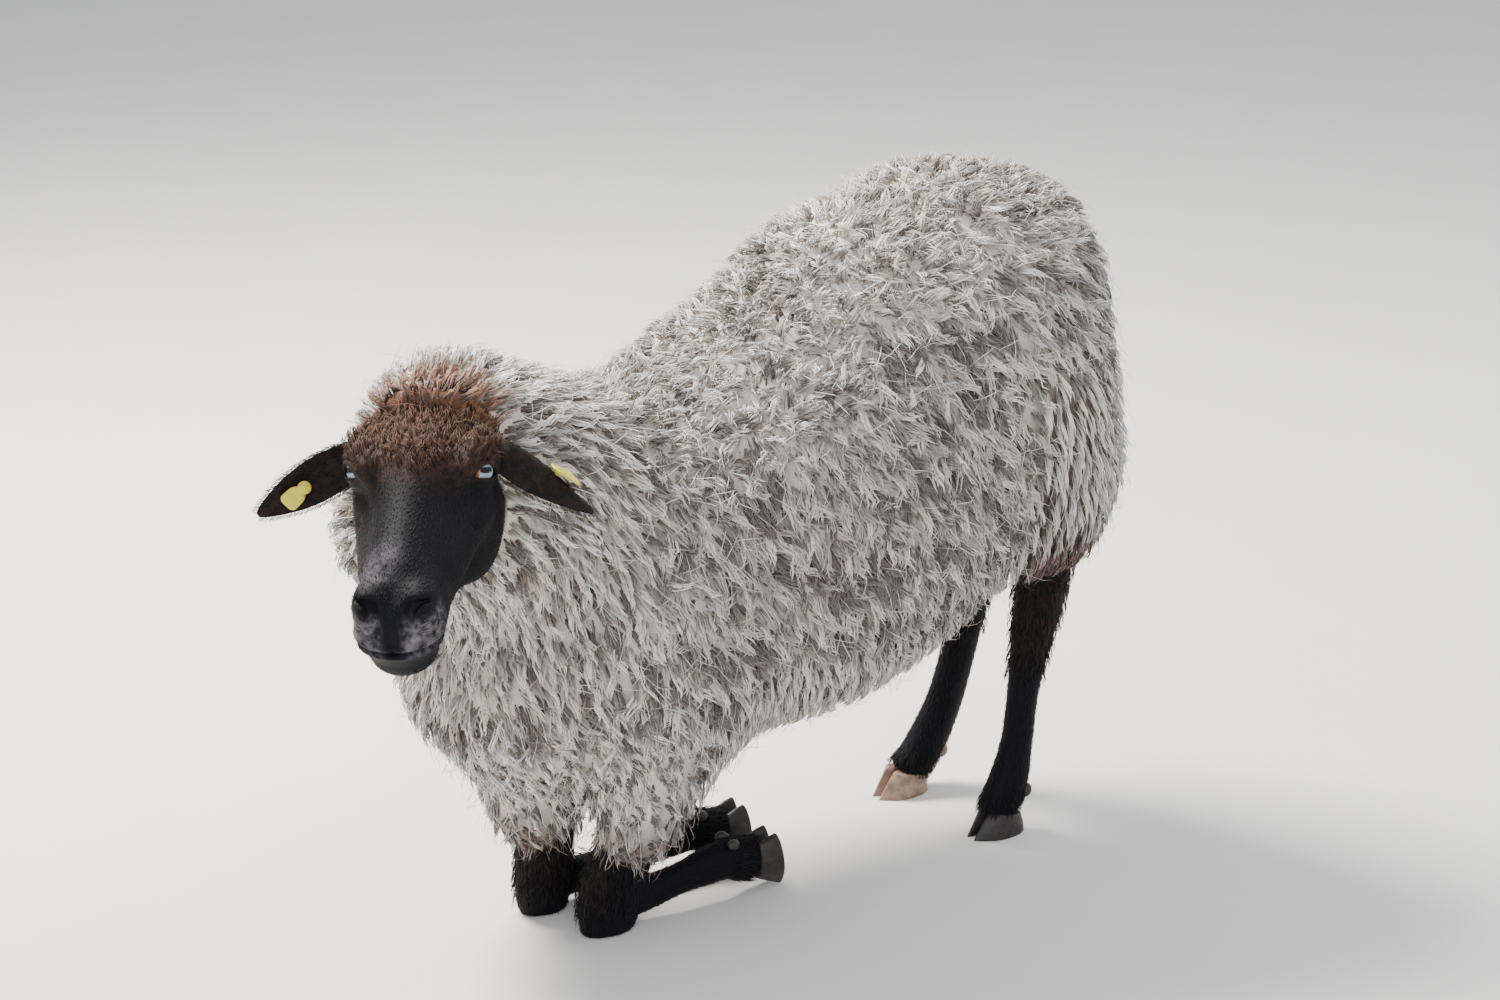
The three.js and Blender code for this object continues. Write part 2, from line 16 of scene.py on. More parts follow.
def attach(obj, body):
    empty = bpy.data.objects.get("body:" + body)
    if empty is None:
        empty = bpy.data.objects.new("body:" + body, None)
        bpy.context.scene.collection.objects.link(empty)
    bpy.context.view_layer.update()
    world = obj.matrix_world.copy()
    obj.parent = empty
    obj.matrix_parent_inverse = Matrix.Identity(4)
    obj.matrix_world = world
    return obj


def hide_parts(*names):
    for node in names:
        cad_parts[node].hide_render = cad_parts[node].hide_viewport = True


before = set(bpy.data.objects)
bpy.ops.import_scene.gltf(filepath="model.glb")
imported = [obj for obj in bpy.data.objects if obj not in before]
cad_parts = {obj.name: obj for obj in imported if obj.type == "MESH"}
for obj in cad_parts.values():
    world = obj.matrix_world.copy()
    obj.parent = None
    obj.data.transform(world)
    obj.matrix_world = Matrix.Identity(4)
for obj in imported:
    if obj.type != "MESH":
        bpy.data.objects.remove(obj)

log = logging.getLogger("sheep")
Array = np.ndarray
Field = Callable[[Array], Array]

MM = 0.001
MIDDLE = np.array([58.4, -38.8, 0.0])  # the drawing's point over the frame's origin, mm
SEED = 20
PATCH = 0.003  # size of a strand's patch in the map OFBake
GAZE = 40.0  # width of the eye's map, mm
SKIN_FLOOR, HAIR_FLOOR, HORN_FLOOR = 1.2, 1.5, 0.3  # how low skin, hair and horn may reach, mm
REAR, KNEES = 200.0, -150.0  # hind legs lie behind the first, knees in front of the second, mm
BODY_BOX = ((-330, -640, 20), (330, 640, 900))
HEAD_BOX = ((-96, -216, -156), (96, 124, 76))  # in the head's frame


# ---------- distance shapes, in millimetres ----------
@dataclass(frozen=True)
class Oval:
    """An ellipsoid: centre, half sizes and tilt about X in degrees."""

    centre: tuple[float, float, float]
    half: tuple[float, float, float]
    tilt: float = 0.0

    def __call__(self, p: Array) -> Array:
        """Distance, as a(a-1)/b with a and b the lengths of p over the half sizes and over their squares."""
        s, k = math.sin(math.radians(self.tilt)), math.cos(math.radians(self.tilt))
        x, y0, z0 = (p[..., i] - self.centre[i] for i in range(3))
        y, z = k * y0 + s * z0, k * z0 - s * y0
        rx, ry, rz = self.half
        a = np.sqrt((x / rx) ** 2 + (y / ry) ** 2 + (z / rz) ** 2)
        b = np.sqrt((x / rx**2) ** 2 + (y / ry**2) ** 2 + (z / rz**2) ** 2)
        return a * (a - 1) / np.maximum(b, 1e-6)


@dataclass(frozen=True)
class Rod:
    """A rod between two balls of different radius."""

    start: tuple[float, float, float]
    end: tuple[float, float, float]
    first: float
    last: float

    def __call__(self, p: Array) -> Array:
        """Distance to the nearest point of the axis less the radius there."""
        a, ab = np.array(self.start, p.dtype), np.subtract(self.end, self.start).astype(p.dtype)
        t = np.clip((p - a) @ ab / (ab @ ab), 0, 1)
        gap = p - a - t[..., None] * ab
        return np.sqrt((gap**2).sum(-1)) - (self.first + (self.last - self.first) * t)


@dataclass(frozen=True)
class Pair:
    """A shape and its mirror image across x = 0."""

    shape: Field

    def __call__(self, p: Array) -> Array:
        """Distance of the point folded to the positive side."""
        q = p.copy()
        q[..., 0] = np.abs(q[..., 0])
        return self.shape(q)


def soft_min(a: Array, b: Array, width: float) -> Array:
    """Smaller of two distances, blended where they differ by less than width."""
    h = np.maximum(width - np.abs(a - b), 0) / width
    return np.minimum(a, b) - h * h * width * 0.25


@dataclass(frozen=True)
class Blend:
    """Smooth union of shapes."""

    shapes: tuple[Field, ...]
    width: float

    def __call__(self, p: Array) -> Array:
        """Soft minimum of all the distances, in order."""
        d = self.shapes[0](p)
        for shape in self.shapes[1:]:
            d = soft_min(d, shape(p), self.width)
        return d


def slope(f: Field, p: Array, step: float = 0.5) -> Array:
    """Unit gradient of a field by central differences."""
    g = np.empty_like(p)
    for i in range(3):
        e = np.zeros(3, p.dtype)
        e[i] = step
        g[..., i] = f(p + e) - f(p - e)
    return unit(g)


def unit(v: Array) -> Array:
    """Vectors scaled to length one."""
    return v / np.maximum(np.linalg.norm(v, axis=-1, keepdims=True), 1e-9)


def ramp(x: Array, low: float, high: float) -> Array:
    """Smooth step from 0 at low to 1 at high."""
    t = np.clip((x - low) / (high - low), 0, 1)
    return t * t * (3 - 2 * t)


def net(f: Field, low: tuple, high: tuple, cell: float) -> tuple[Array, Array]:
    """The closed surface f = 0 in a box, one point for each grid cell that it crosses.

    Args:
        f: distance field, negative inside.
        low: lowest corner of the box.
        high: highest corner of the box.
        cell: grid step.

    Returns:
        Points (n, 3) and triangles (m, 3), facing outwards.
    """
    low = np.array(low, np.float32)
    n = np.ceil((np.array(high) - low) / cell).astype(int) + 1
    axes = [low[i] + cell * np.arange(n[i], dtype=np.float32) for i in range(3)]
    val = np.empty(n, np.float32)
    plane = np.stack(np.meshgrid(axes[1], axes[2], indexing="ij"), -1)
    for i in range(0, n[0], 8):
        xs = axes[0][i:i + 8]
        p = np.empty((len(xs), *plane.shape[:2], 3), np.float32)
        p[..., 0] = xs[:, None, None]
        p[..., 1:] = plane
        val[i:i + 8] = f(p)
    inside = val < 0
    corners = [np.array([i, j, k]) for i in (0, 1) for j in (0, 1) for k in (0, 1)]
    m = n - 1
    full = np.ones(m, bool)
    none = np.ones(m, bool)
    for c in corners:
        part = inside[c[0]:c[0] + m[0], c[1]:c[1] + m[1], c[2]:c[2] + m[2]]
        full &= part
        none &= ~part
    cells = np.argwhere(~(full | none))
    total, hits = np.zeros((len(cells), 3)), np.zeros(len(cells))
    for a in corners:
        for axis in range(3):
            if a[axis]:
                continue
            b = a.copy()
            b[axis] = 1
            va = val[tuple((cells + a).T)]
            vb = val[tuple((cells + b).T)]
            cross = (va < 0) != (vb < 0)
            t = np.where(cross, va / np.where(cross, va - vb, 1), 0)
            total += (a + (b - a) * t[:, None]) * cross[:, None]
            hits += cross
    points = low + cell * (cells + total / hits[:, None])
    for _ in range(2):
        g = slope(f, points, 0.25)
        points = points - g * np.clip(f(points), -0.3 * cell, 0.3 * cell)[:, None]
    number = np.full(m, -1)
    number[tuple(cells.T)] = np.arange(len(cells))
    quads = []
    for axis in range(3):
        e = np.eye(3, dtype=int)[axis]
        u, v = np.eye(3, dtype=int)[(axis + 1) % 3], np.eye(3, dtype=int)[(axis + 2) % 3]
        lo = u + v
        hi = n - 1 - (np.arange(3) != axis)
        at = np.argwhere(inside[lo[0]:hi[0], lo[1]:hi[1], lo[2]:hi[2]]
                         != inside[lo[0] + e[0]:hi[0] + e[0], lo[1] + e[1]:hi[1] + e[1],
                                   lo[2] + e[2]:hi[2] + e[2]]) + lo
        ring = np.stack([number[tuple((at - s * u - t * v).T)]
                         for s, t in ((0, 0), (1, 0), (1, 1), (0, 1))], 1)
        out = ~inside[tuple(at.T)]
        ring[out] = ring[out][:, ::-1]
        quads.append(ring)
    return points, halves(np.concatenate(quads))


# ---------- the animal's form, in millimetres: it heads along -Y, its left is +X ----------
FLEECE = Blend((
    Oval((0, 112, 486), (250, 352, 264), 23),  # barrel
    Oval((0, 190, 648), (185, 150, 180), 15),  # loin
    Oval((0, 325, 628), (224, 160, 236), 10),  # rump
    Oval((0, 392, 702), (172, 108, 140), -20),  # croup
    Oval((0, -115, 424), (208, 215, 212), 20),  # shoulders
    Oval((0, -266, 345), (150, 144, 160), 30),  # brisket
    Rod((0, -190, 498), (100, -390, 650), 165, 112),  # neck
    Rod((40, -330, 540), (72, -428, 556), 125, 90),  # ruff under the throat
    Pair(Oval((122, 368, 532), (100, 110, 178))),  # thighs
    Pair(Rod((112, 402, 480), (95, 432, 404), 78, 52)),  # gaskins
    Rod((80, -120, 320), (50, -145, 135), 105, 60),  # left woolly foreleg
    Rod((-70, -230, 320), (-50, -230, 138), 112, 60),  # right woolly foreleg
    Rod((158, -471, 719), (187, -433, 721), 36, 36),  # cap of wool on the poll
), 60)


def turned(axis: str, degrees: float) -> Array:
    """Rotation matrix about one axis."""
    return np.array(Matrix.Rotation(math.radians(degrees), 3, axis))


@dataclass(frozen=True)
class Place:
    """A turned, scaled and moved frame of the drawing."""

    at: tuple[float, float, float]
    turn: Array
    scale: float = 1.0

    def out(self, p: Array) -> Array:
        """From this frame to the animal's."""
        return p @ (self.turn.T * self.scale).astype(p.dtype) + np.array(self.at, p.dtype)

    def into(self, p: Array) -> Array:
        """From the animal's frame to this one."""
        return (p - np.array(self.at, p.dtype)) @ (self.turn / self.scale).astype(p.dtype)


HEAD_PLACE = Place((208, -477, 662), turned("Z", 53.3) @ turned("X", 22.6) @ turned("Y", -1.8), 1.08)


@dataclass(frozen=True)
class EyeSeat:
    """Where the left eye sits in the head's frame, and how it looks out."""

    at: tuple[float, float, float] = (53.0, -3.0, 9.0)
    radius: float = 15.0
    gaze: tuple[float, float, float] = (0.73, -0.58, 0.36)
    slit: tuple[float, float, float] = (0.68, 0.57, -0.46)  # from the inner corner to the outer

    @property
    def axes(self) -> Array:
        """Rows: along the slit, up across the slit, out along the gaze."""
        out = unit(np.array(self.gaze))
        along = np.array(self.slit)
        along = unit(along - (along @ out) * out)
        return np.stack([along, np.cross(out, along), out])

    def local(self, p: Array) -> Array:
        """Points of the head's frame in the eye's own axes, from its centre."""
        return (p - np.array(self.at)) @ self.axes.T


EYE_SEAT = EyeSeat()


# ---------- meshes ----------
@dataclass
class Shell:
    """A surface in the making: points in millimetres and triangles."""

    points: Array
    faces: Array


def merged(shells: list[Shell]) -> Shell:
    """Several surfaces as one, in order."""
    starts = np.cumsum([0] + [len(s.points) for s in shells[:-1]])
    return Shell(np.concatenate([s.points for s in shells]),
                 np.concatenate([s.faces + start for s, start in zip(shells, starts)]))


def make_mesh(name: str, shell: Shell) -> bpy.types.Mesh:
    """A smooth-shaded Blender mesh of a shell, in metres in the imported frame."""
    mesh = bpy.data.meshes.new(name)
    points = ((shell.points - MIDDLE) * MM).astype(np.float32)
    m, k = shell.faces.shape
    mesh.vertices.add(len(points))
    mesh.vertices.foreach_set("co", points.ravel())
    mesh.loops.add(m * k)
    mesh.loops.foreach_set("vertex_index", shell.faces.astype(np.int32).ravel())
    mesh.polygons.add(m)
    mesh.polygons.foreach_set("loop_start", np.arange(0, m * k, k, dtype=np.int32))
    mesh.polygons.foreach_set("use_smooth", np.ones(m, bool))
    mesh.update(calc_edges=True)
    mesh.validate()
    return mesh


def make_object(name: str, mesh: bpy.types.Mesh) -> bpy.types.Object:
    """An object at the origin that shows a mesh."""
    ob = bpy.data.objects.new(name, mesh)
    bpy.context.scene.collection.objects.link(ob)
    return ob


def halves(quads: Array) -> Array:
    """Two triangles for each quad."""
    return np.concatenate([quads[:, [0, 1, 2]], quads[:, [0, 2, 3]]])


def grid_faces(rows: int, around: int) -> Array:
    """Triangles of a tube of rows rings, closed round."""
    i, j = np.meshgrid(np.arange(rows - 1), np.arange(around), indexing="ij")
    a, b = i * around + j, i * around + (j + 1) % around
    return halves(np.stack([a, b, b + around, a + around], -1).reshape(-1, 4))


def capped(rings: Array) -> Shell:
    """A closed surface through rings (rows, around, 3), each end drawn in to a point by small rings."""
    ends = []
    for k in (0, -1):
        mid = rings[k].mean(0)
        ends.append([mid + (rings[k] - mid) * s for s in (0.7, 0.35, 0.02)])
    rings = np.concatenate([np.array(ends[0][::-1]), rings, np.array(ends[1])])
    rows, around = rings.shape[:2]
    points = rings.reshape(-1, 3)
    faces = grid_faces(rows, around)
    n = len(points)
    mids = np.array([rings[0].mean(0), rings[-1].mean(0)])
    j = np.arange(around)
    k = (j + 1) % around
    last = (rows - 1) * around
    tri = np.concatenate([np.stack([k, j, np.full(around, n)], 1),
                          np.stack([last + j, last + k, np.full(around, n + 1)], 1)])
    return Shell(np.concatenate([points, mids]), np.concatenate([faces, tri]))


def smooth_through(stations: Array, steps: int) -> Array:
    """Rows of numbers joined by a Catmull-Rom curve with steps points for each span."""
    s = np.asarray(stations, float)
    ext = np.concatenate([[2 * s[0] - s[1]], s, [2 * s[-1] - s[-2]]])
    at = np.arange((len(s) - 1) * steps + 1) / steps
    k = np.minimum(at.astype(int), len(s) - 2)
    f = (at - k)[:, None]
    a, b, c, d = (ext[k + i] for i in range(4))
    return 0.5 * (2 * b + (c - a) * f + (2 * a - 5 * b + 4 * c - d) * f**2 + (3 * b - a - 3 * c + d) * f**3)


def limb(stations: list, shrink: float, around: int = 26, steps: int = 8) -> Shell:
    """A limb of oval rings along a smooth spine.

    Args:
        stations: rows of x, y, z, half width and half depth.
        shrink: how far the skin lies inside these.
        around: points in a ring.
        steps: rings in a span.

    Returns:
        A closed surface, flattened where it meets the floor.
    """
    s = smooth_through(stations, steps)
    spine, along = s[:, :3], unit(np.gradient(s[:, :3], axis=0))
    side = np.array([1.0, 0, 0])
    across = unit(side - (along @ side)[:, None] * along)
    deep = np.cross(along, across)
    a = np.linspace(0, 2 * np.pi, around, endpoint=False)
    w, d = (s[:, 3:4] - shrink), (s[:, 4:5] - shrink)
    tendon = 1 - 0.07 * np.exp(-((np.sin(a) - 0.35) / 0.22) ** 2)
    u = w * np.cos(a) * tendon
    v = d * np.sin(a)
    rings = spine[:, None] + across[:, None] * u[..., None] + deep[:, None] * v[..., None]
    rings[..., 2] = np.maximum(rings[..., 2], SKIN_FLOOR)
    return outward(capped(rings))


def outward(shell: Shell) -> Shell:
    """The same closed surface with its faces pointing out, judged by the sign of its volume."""
    p = shell.points[shell.faces]
    volume = np.einsum("ij,ij->i", p[:, 0], np.cross(p[:, 1], p[:, 2])).sum()
    return shell if volume > 0 else Shell(shell.points, shell.faces[:, ::-1].copy())


@dataclass(frozen=True)
class HeadForm:
    """The head in its own frame, millimetres: x left, y back, z up, between the eyes."""

    hair: float = 1.3  # depth of the short coat

    def bones(self) -> Blend:
        """The main forms, as in the solid head."""
        return Blend((
            Oval((0, 48, -10), (63, 56, 50)),  # cranium
            Oval((0, 12, 6), (63, 60, 34)),  # forehead
            Pair(Oval((53, 5, 8), (20, 27, 19))),  # eye rims
            Pair(Oval((36, 26, -76), (28, 66, 54))),  # cheeks
            Rod((0, 0, -34), (0, -120, -30), 55, 38),  # face
            Pair(Rod((46, -12, -30), (30, -96, -34), 20, 16)),  # ridges below the eyes
            Rod((0, -5, 8), (0, -125, -10), 33, 26),  # bridge of the nose
            Oval((0, -148, -34), (40, 44, 37)),  # muzzle
            Oval((0, -168, -40), (35, 25, 24)),  # upper lip
            Pair(Oval((23, -162, -8), (14, 19, 15))),  # nostril wings
            Oval((0, -162, -70), (27, 24, 14)),  # chin
            Rod((0, 50, -102), (0, -150, -67), 42, 23),  # jaw
        ), 20)

    def __call__(self, p: Array) -> Array:
        """Distance to the skin: the main forms with lids, nostrils, lips and folds added and carved."""
        d = self.bones()(p) + self.hair
        q = p.copy()
        q[..., 0] = np.abs(q[..., 0])
        x, y, z = q[..., 0], q[..., 1], q[..., 2]
        # the face falls away in front of the eye, the brow hangs over it
        e = EYE_SEAT.local(q)
        u, v, w = e[..., 0], e[..., 1], e[..., 2]
        d = -soft_min(-d, Oval((64, -40, 8), (13, 24, 17), -14)(q), 16)
        d = soft_min(d, Rod((47, -18, 24), (58, 12, 25), 6, 7)(q), 18)
        # lids: a skin over the ball, opened by an almond; a fold above, a bag below
        ball = np.sqrt((e**2).sum(-1)) - EYE_SEAT.radius
        d = soft_min(d, ball - 3.0, 5)
        droop = v - 0.9 + 0.02 * u * u
        almond = np.sqrt((u / 12.5) ** 2 + (droop / np.where(droop > 0, 6.0, 6.6)) ** 2) - 1
        near = ramp(w, 4, 9)
        fold = np.sqrt((u / 16.5) ** 2 + ((v - 0.6) / 11.0) ** 2) - 1
        above = 2.0 * np.exp(-(fold / 0.11) ** 2) * ramp(v, 1, 5)
        below = 1.4 * np.exp(-((fold - 0.12) / 0.12) ** 2) * ramp(-v, 1, 5)
        d = d + near * (above + below)
        d = np.maximum(d, np.where(w > 3, -np.maximum(almond * 6, 3 - w), d))
        # tear groove in front of the eye
        d = -soft_min(-d, Rod((64, -28, -6), (54, -48, -20), 1.8, 2.6)(q), 6)
        # nostrils: a slit that curls out and back
        d = -soft_min(-d, Rod((14, -186, -14), (19, -175, 1), 4.0, 5.4)(q), 4)
        d = -soft_min(-d, Rod((19, -175, 1), (31, -166, -1), 5.0, 1.8)(q), 4)
        # groove from the nose to the lip
        d = -soft_min(-d, Rod((0, -192, -14), (0, -196, -38), 1.2, 2.0)(q), 5)
        # mouth line and the lips beside it
        lip = z + 64 + 0.16 * (y + 40)
        reach = ramp(-y, 88, 106)
        d = d + reach * (4.2 * np.exp(-(lip / 1.9) ** 2) - 1.5 * np.exp(-((np.abs(lip) - 5) / 3.2) ** 2))
        # cheek muscle edge and a hollow behind the jaw
        d = d + 1.2 * np.exp(-((y + 30 - 0.2 * z) / 9) ** 2) * ramp(-z, 42, 60) * ramp(x, 18, 34)
        return d


HEAD = HeadForm()


def head_distance(p: Array) -> Array:
    """Distance to the head's skin for points of the animal's frame, in millimetres."""
    return HEAD(HEAD_PLACE.into(p)) * HEAD_PLACE.scale


@dataclass(frozen=True)
class Ear:
    """One ear. The leaf lies in its own frame: x across, y to the hollow face, z along."""

    side: int  # +1 is the left
    along: tuple[float, float, float]  # root to tip, in the head's frame
    front: tuple[float, float, float]  # where the hollow face looks
    cup: tuple[float, float]  # depth of the hollow at the root, and how much less it is at the tip
    length: float = 117.0
    width: float = 44.0
    hair: float = 0.6

    @property
    def axes(self) -> Array:
        """Across, front and along as rows, in the head's frame."""
        along, front = unit(np.array(self.along)), np.array(self.front)
        front = unit(front - (front @ along) * along)
        return np.stack([np.cross(along, front), front, along])

    @property
    def root(self) -> Array:
        """Where it grows, in the head's frame."""
        return np.array([self.side * 60.0, 36, 0])

    def out(self, p: Array) -> Array:
        """From the ear's frame to the animal's."""
        return HEAD_PLACE.out(p @ self.axes + self.root)

    def outline(self, t: Array) -> Array:
        """Half width over the widest, along the leaf."""
        knots = np.array([-0.14, 0, 1 / 6, 2 / 6, 3 / 6, 4 / 6, 5 / 6, 0.94, 1.0])
        wide = np.array([0.6, 0.70, 0.88, 1, 0.98, 0.84, 0.56, 0.33, 0.12])
        return np.interp(t, knots, wide)

    def sheet(self, u: Array, t: Array) -> Array:
        """Middle of the leaf at u across (-1 to 1) and t along (0 to 1): cupped, less so towards the tip."""
        k = self.outline(t)
        lift = (self.cup[0] - self.cup[1] * t) * k * (u * u - 0.5)
        return np.stack([u * k * self.width / 2, lift, t * self.length], -1)

    def leaf(self, u: Array, t: Array) -> Array:
        """Points of that leaf in the animal's frame."""
        return self.out(self.sheet(u, t))

    def shell(self) -> Shell:
        """The leaf with a rounded rim and three shallow ridges inside."""
        rows = smooth_through(np.linspace(-0.12, 1, 12)[:, None], 4)[:, 0]
        a = np.linspace(0, 2 * np.pi, 36, endpoint=False)
        t, a = np.meshgrid(rows, a, indexing="ij")
        u = np.cos(a)
        thick = 8 - 4 * np.clip(t, 0, 1) - 2 * self.hair
        ridge = 0.7 * np.cos(u * 9) * ramp(np.sin(a), 0.2, 0.8) * (1 - t)
        p = self.sheet(u * (1 - self.hair / 26), t)
        p[..., 1] += thick * 0.5 * np.sign(np.sin(a)) * np.abs(np.sin(a)) ** 0.8 + ridge
        return outward(capped(self.out(p)))


EARS = {"left": Ear(1, (0.745, 0.0, -0.667), (-0.542, -0.468, -0.697), (34, 20)),
        "right": Ear(-1, (-0.855, -0.373, -0.361), (0.1, -0.85, 0.35), (15, 10))}


@dataclass(frozen=True)
class Foot:
    """One foot and the leg above it, as far as it is bare of wool."""

    at: tuple[float, float, float]  # where the claws stand
    turn: float  # of the claws about X, degrees
    dew: tuple[float, float, float]  # between the dewclaws
    dew_turn: float  # of the dewclaws about X, degrees
    spans: tuple[list[list[float]], ...]  # spines of the leg: x, y, z, half width and half depth


FEET = {
    "hind_left": Foot((81, 357, 0), 0, (81, 398, 54), -20, (
        [[84, 424, 430, 20, 38], [83, 423, 378, 26, 46], [82, 420, 332, 25, 40], [81, 415, 292, 23, 36],
         [81, 406, 245, 20, 29], [81, 397, 185, 18, 23], [81, 390, 122, 18, 23], [81, 380, 74, 22, 28],
         [81, 367, 42, 23, 29], [81, 361, 28, 22, 28]],)),
    "hind_right": Foot((-81, 325, 0), 0, (-81, 386, 50), -34, (
        [[-84, 430, 430, 20, 38], [-83, 433, 378, 26, 46], [-82, 435, 328, 25, 40], [-81, 433, 285, 23, 37],
         [-81, 427, 238, 21, 31], [-81, 416, 178, 19, 27], [-81, 397, 118, 19, 28], [-81, 374, 72, 22, 30],
         [-81, 353, 43, 23, 30], [-81, 336, 28, 22, 29]],)),
    "fore_left": Foot((44, 50, 34.6), 98, (44, -16, 71), 75, (
        [[53, -140, 168, 32, 42], [48, -160, 100, 29, 39], [44, -176, 50, 28, 42], [44, -182, 12, 26, 38],
         [44, -182, -12, 18, 28]],
        [[44, -182, 32, 24, 29], [44, -130, 34, 19, 23], [44, -84, 40, 17, 21], [44, -46, 46, 20, 25],
         [44, -20, 48, 21, 26], [44, 4, 43, 22, 28], [44, 16, 40, 22, 28]])),
    "fore_right": Foot((-44, 60, 34.6), 98, (-44, -6, 71), 75, (
        [[-53, -198, 168, 32, 42], [-48, -213, 100, 29, 38], [-44, -218, 50, 28, 38], [-44, -221, 12, 26, 34],
         [-44, -221, -12, 18, 24]],
        [[-44, -221, 32, 24, 29], [-44, -172, 34, 19, 23], [-44, -96, 39, 17, 21], [-44, -38, 46, 20, 25],
         [-44, -10, 48, 21, 26], [-44, 14, 43, 22, 28], [-44, 26, 40, 22, 28]])),
}
# spine of the tail: x, y, z, half width and half depth
TAIL = [[0, 440, 726, 34, 26], [0, 486, 700, 36, 30], [0, 506, 655, 36, 30], [0, 508, 610, 32, 26],
        [0, 504, 578, 20, 15]]


def fleece_distance(p: Array) -> Array:
    """Distance to the tips of the fleece, the tail among it."""
    spine = np.array(TAIL, float)
    d = FLEECE(p)
    for a, b in zip(spine[:-1], spine[1:]):
        d = soft_min(d, Rod(tuple(a[:3]), tuple(b[:3]), (a[3] + a[4]) / 2, (b[3] + b[4]) / 2)(p), 10)
    return d


def coat_depth(p: Array) -> Array:
    """Depth of the fleece: thinner down the legs and under the throat."""
    return 22 - 8 * ramp(-p[..., 2], -330, -180) - 6 * ramp(p[..., 1], 430, 500) * ramp(p[..., 2], 500, 560)


def core_distance(p: Array) -> Array:
    """Distance to the skin under the fleece."""
    return fleece_distance(p) + coat_depth(p)


def union(name: str, shells: Iterable[Shell]) -> bpy.types.Mesh:
    """One closed mesh from closed shells, joined by Boolean modifiers on the first."""
    first, *rest = (make_object(f"{name}.{i}", make_mesh(f"{name}.{i}", s)) for i, s in enumerate(shells))
    for other in rest:
        cut = first.modifiers.new("join", "BOOLEAN")
        cut.operation, cut.solver, cut.object = "UNION", "MANIFOLD", other
    graph = bpy.context.evaluated_depsgraph_get()
    mesh = bpy.data.meshes.new_from_object(first.evaluated_get(graph))
    for ob in (first, *rest):
        old = ob.data
        bpy.data.objects.remove(ob)
        bpy.data.meshes.remove(old)
    mesh.name = name
    mesh.polygons.foreach_set("use_smooth", np.ones(len(mesh.polygons), bool))
    return mesh


# ---------- markings, shared by skin and coat ----------
def crown_mask(q: Array) -> Array:
    """Where the head carries brown wool: above the eyes and between the ears, in the head's frame."""
    x, y, z = np.abs(q[..., 0]), q[..., 1], q[..., 2]
    return ramp(z - 24 + 0.45 * y - 0.10 * x + 3 * np.sin(q[..., 0] / 9), -20, 14)


def corded(p: Array) -> Array:
    """Where the wool hangs in cords: the back of the thighs, and low on the belly."""
    _, y, z = p.T
    thigh = ramp(y, 285, 325) * ramp(-z, -690, -590)
    return np.maximum(thigh, 0.85 * ramp(-z, -400, -310) * ramp(y, -150, -60))


def markings(p: Array) -> Array:
    """Coat colours at points of the animal.

    Args:
        p: points (n, 3) in the animal's frame, millimetres.

    Returns:
        Dark and brown weights (n, 2). None is cream wool, dark is the black hair of face, ears and legs, and
        brown is the wool of the crown and of the hems above the legs.
    """
    q = HEAD_PLACE.into(p)
    y, z = q[..., 1], q[..., 2]
    far = head_distance(p)
    dark = np.maximum(ramp(core_distance(p), 1, 9), ramp(-far, -5, -1))
    dark = dark * (1 - crown_mask(q) * ramp(-far, -14, -4) * (0.3 + 0.7 * ramp(y, 25, 75)))
    hem = 0.5 * ramp(-p[..., 2], -190, -100) + ramp(-p[..., 2], -480, -400) * ramp(p[..., 1], 310, 360)
    dark = np.maximum(dark, 0.6 * hem)
    crest = np.maximum(ramp(-far, -8, -2) * ramp(z, -24, 0), ramp(-far, -38, -24) * ramp(z, -5, 18))
    brown = np.maximum(crest * (1 - ramp(y, 82, 120)), hem)
    return np.stack([dark, brown], -1).clip(0, 1)


def accents(p: Array) -> Array:
    """Small departures of the dark hair (n, 2): grey hairs round the lips with a painted grey sheen down one
    side of the nose's bridge, and rusty brown.
    """
    q = HEAD_PLACE.into(p)
    x, y, z = q.T
    head = ramp(-head_distance(p), -9, -2)
    lip = ramp(-y, 138, 165) * ramp(-np.abs(z + 27), -22, -12) * ramp(np.abs(x), 5, 16)
    # painted sheen: grey down one side of the nose's bridge
    bridge = 0.5 * ramp(-y, 96, 125) * ramp(y, -160, -146) * ramp(-x, -14, 14)
    grey_hair_and_sheen = head * np.maximum(lip, bridge)
    rust = head * (0.6 * ramp(-x, 18, 46) * ramp(-z, -10, 30) + ramp(z, 0, 30) * ramp(y, -70, -10))
    legs = (1 - head) * (0.45 * ramp(-p[..., 1], 170, 215) * ramp(p[..., 2], 20, 90)
                         + 0.5 * ramp(p[..., 2], 190, 300) * ramp(p[..., 1], 200, 300))
    return np.stack([grey_hair_and_sheen, rust + legs], -1).clip(0, 1)


def add_colour(mesh: bpy.types.Mesh, name: str, values: Array) -> None:
    """Stores four numbers for each vertex as a colour attribute."""
    layer = mesh.attributes.new(name, "FLOAT_COLOR", "POINT")
    layer.data.foreach_set("color", values.astype(np.float32).ravel())


def fetched(source: bpy.types.bpy_prop_collection, key: str, kind: type = np.float32) -> Array:
    """Three numbers (n, 3) for each item of a mesh's collection."""
    values = np.empty(len(source) * 3, kind)
    source.foreach_get(key, values)
    return values.reshape(-1, 3)


# ---------- locks and hairs ----------
LOCK_GAP, CLUMP_GAP = 0.85, 0.8  # least gap between locks and between clumps, over their spacing


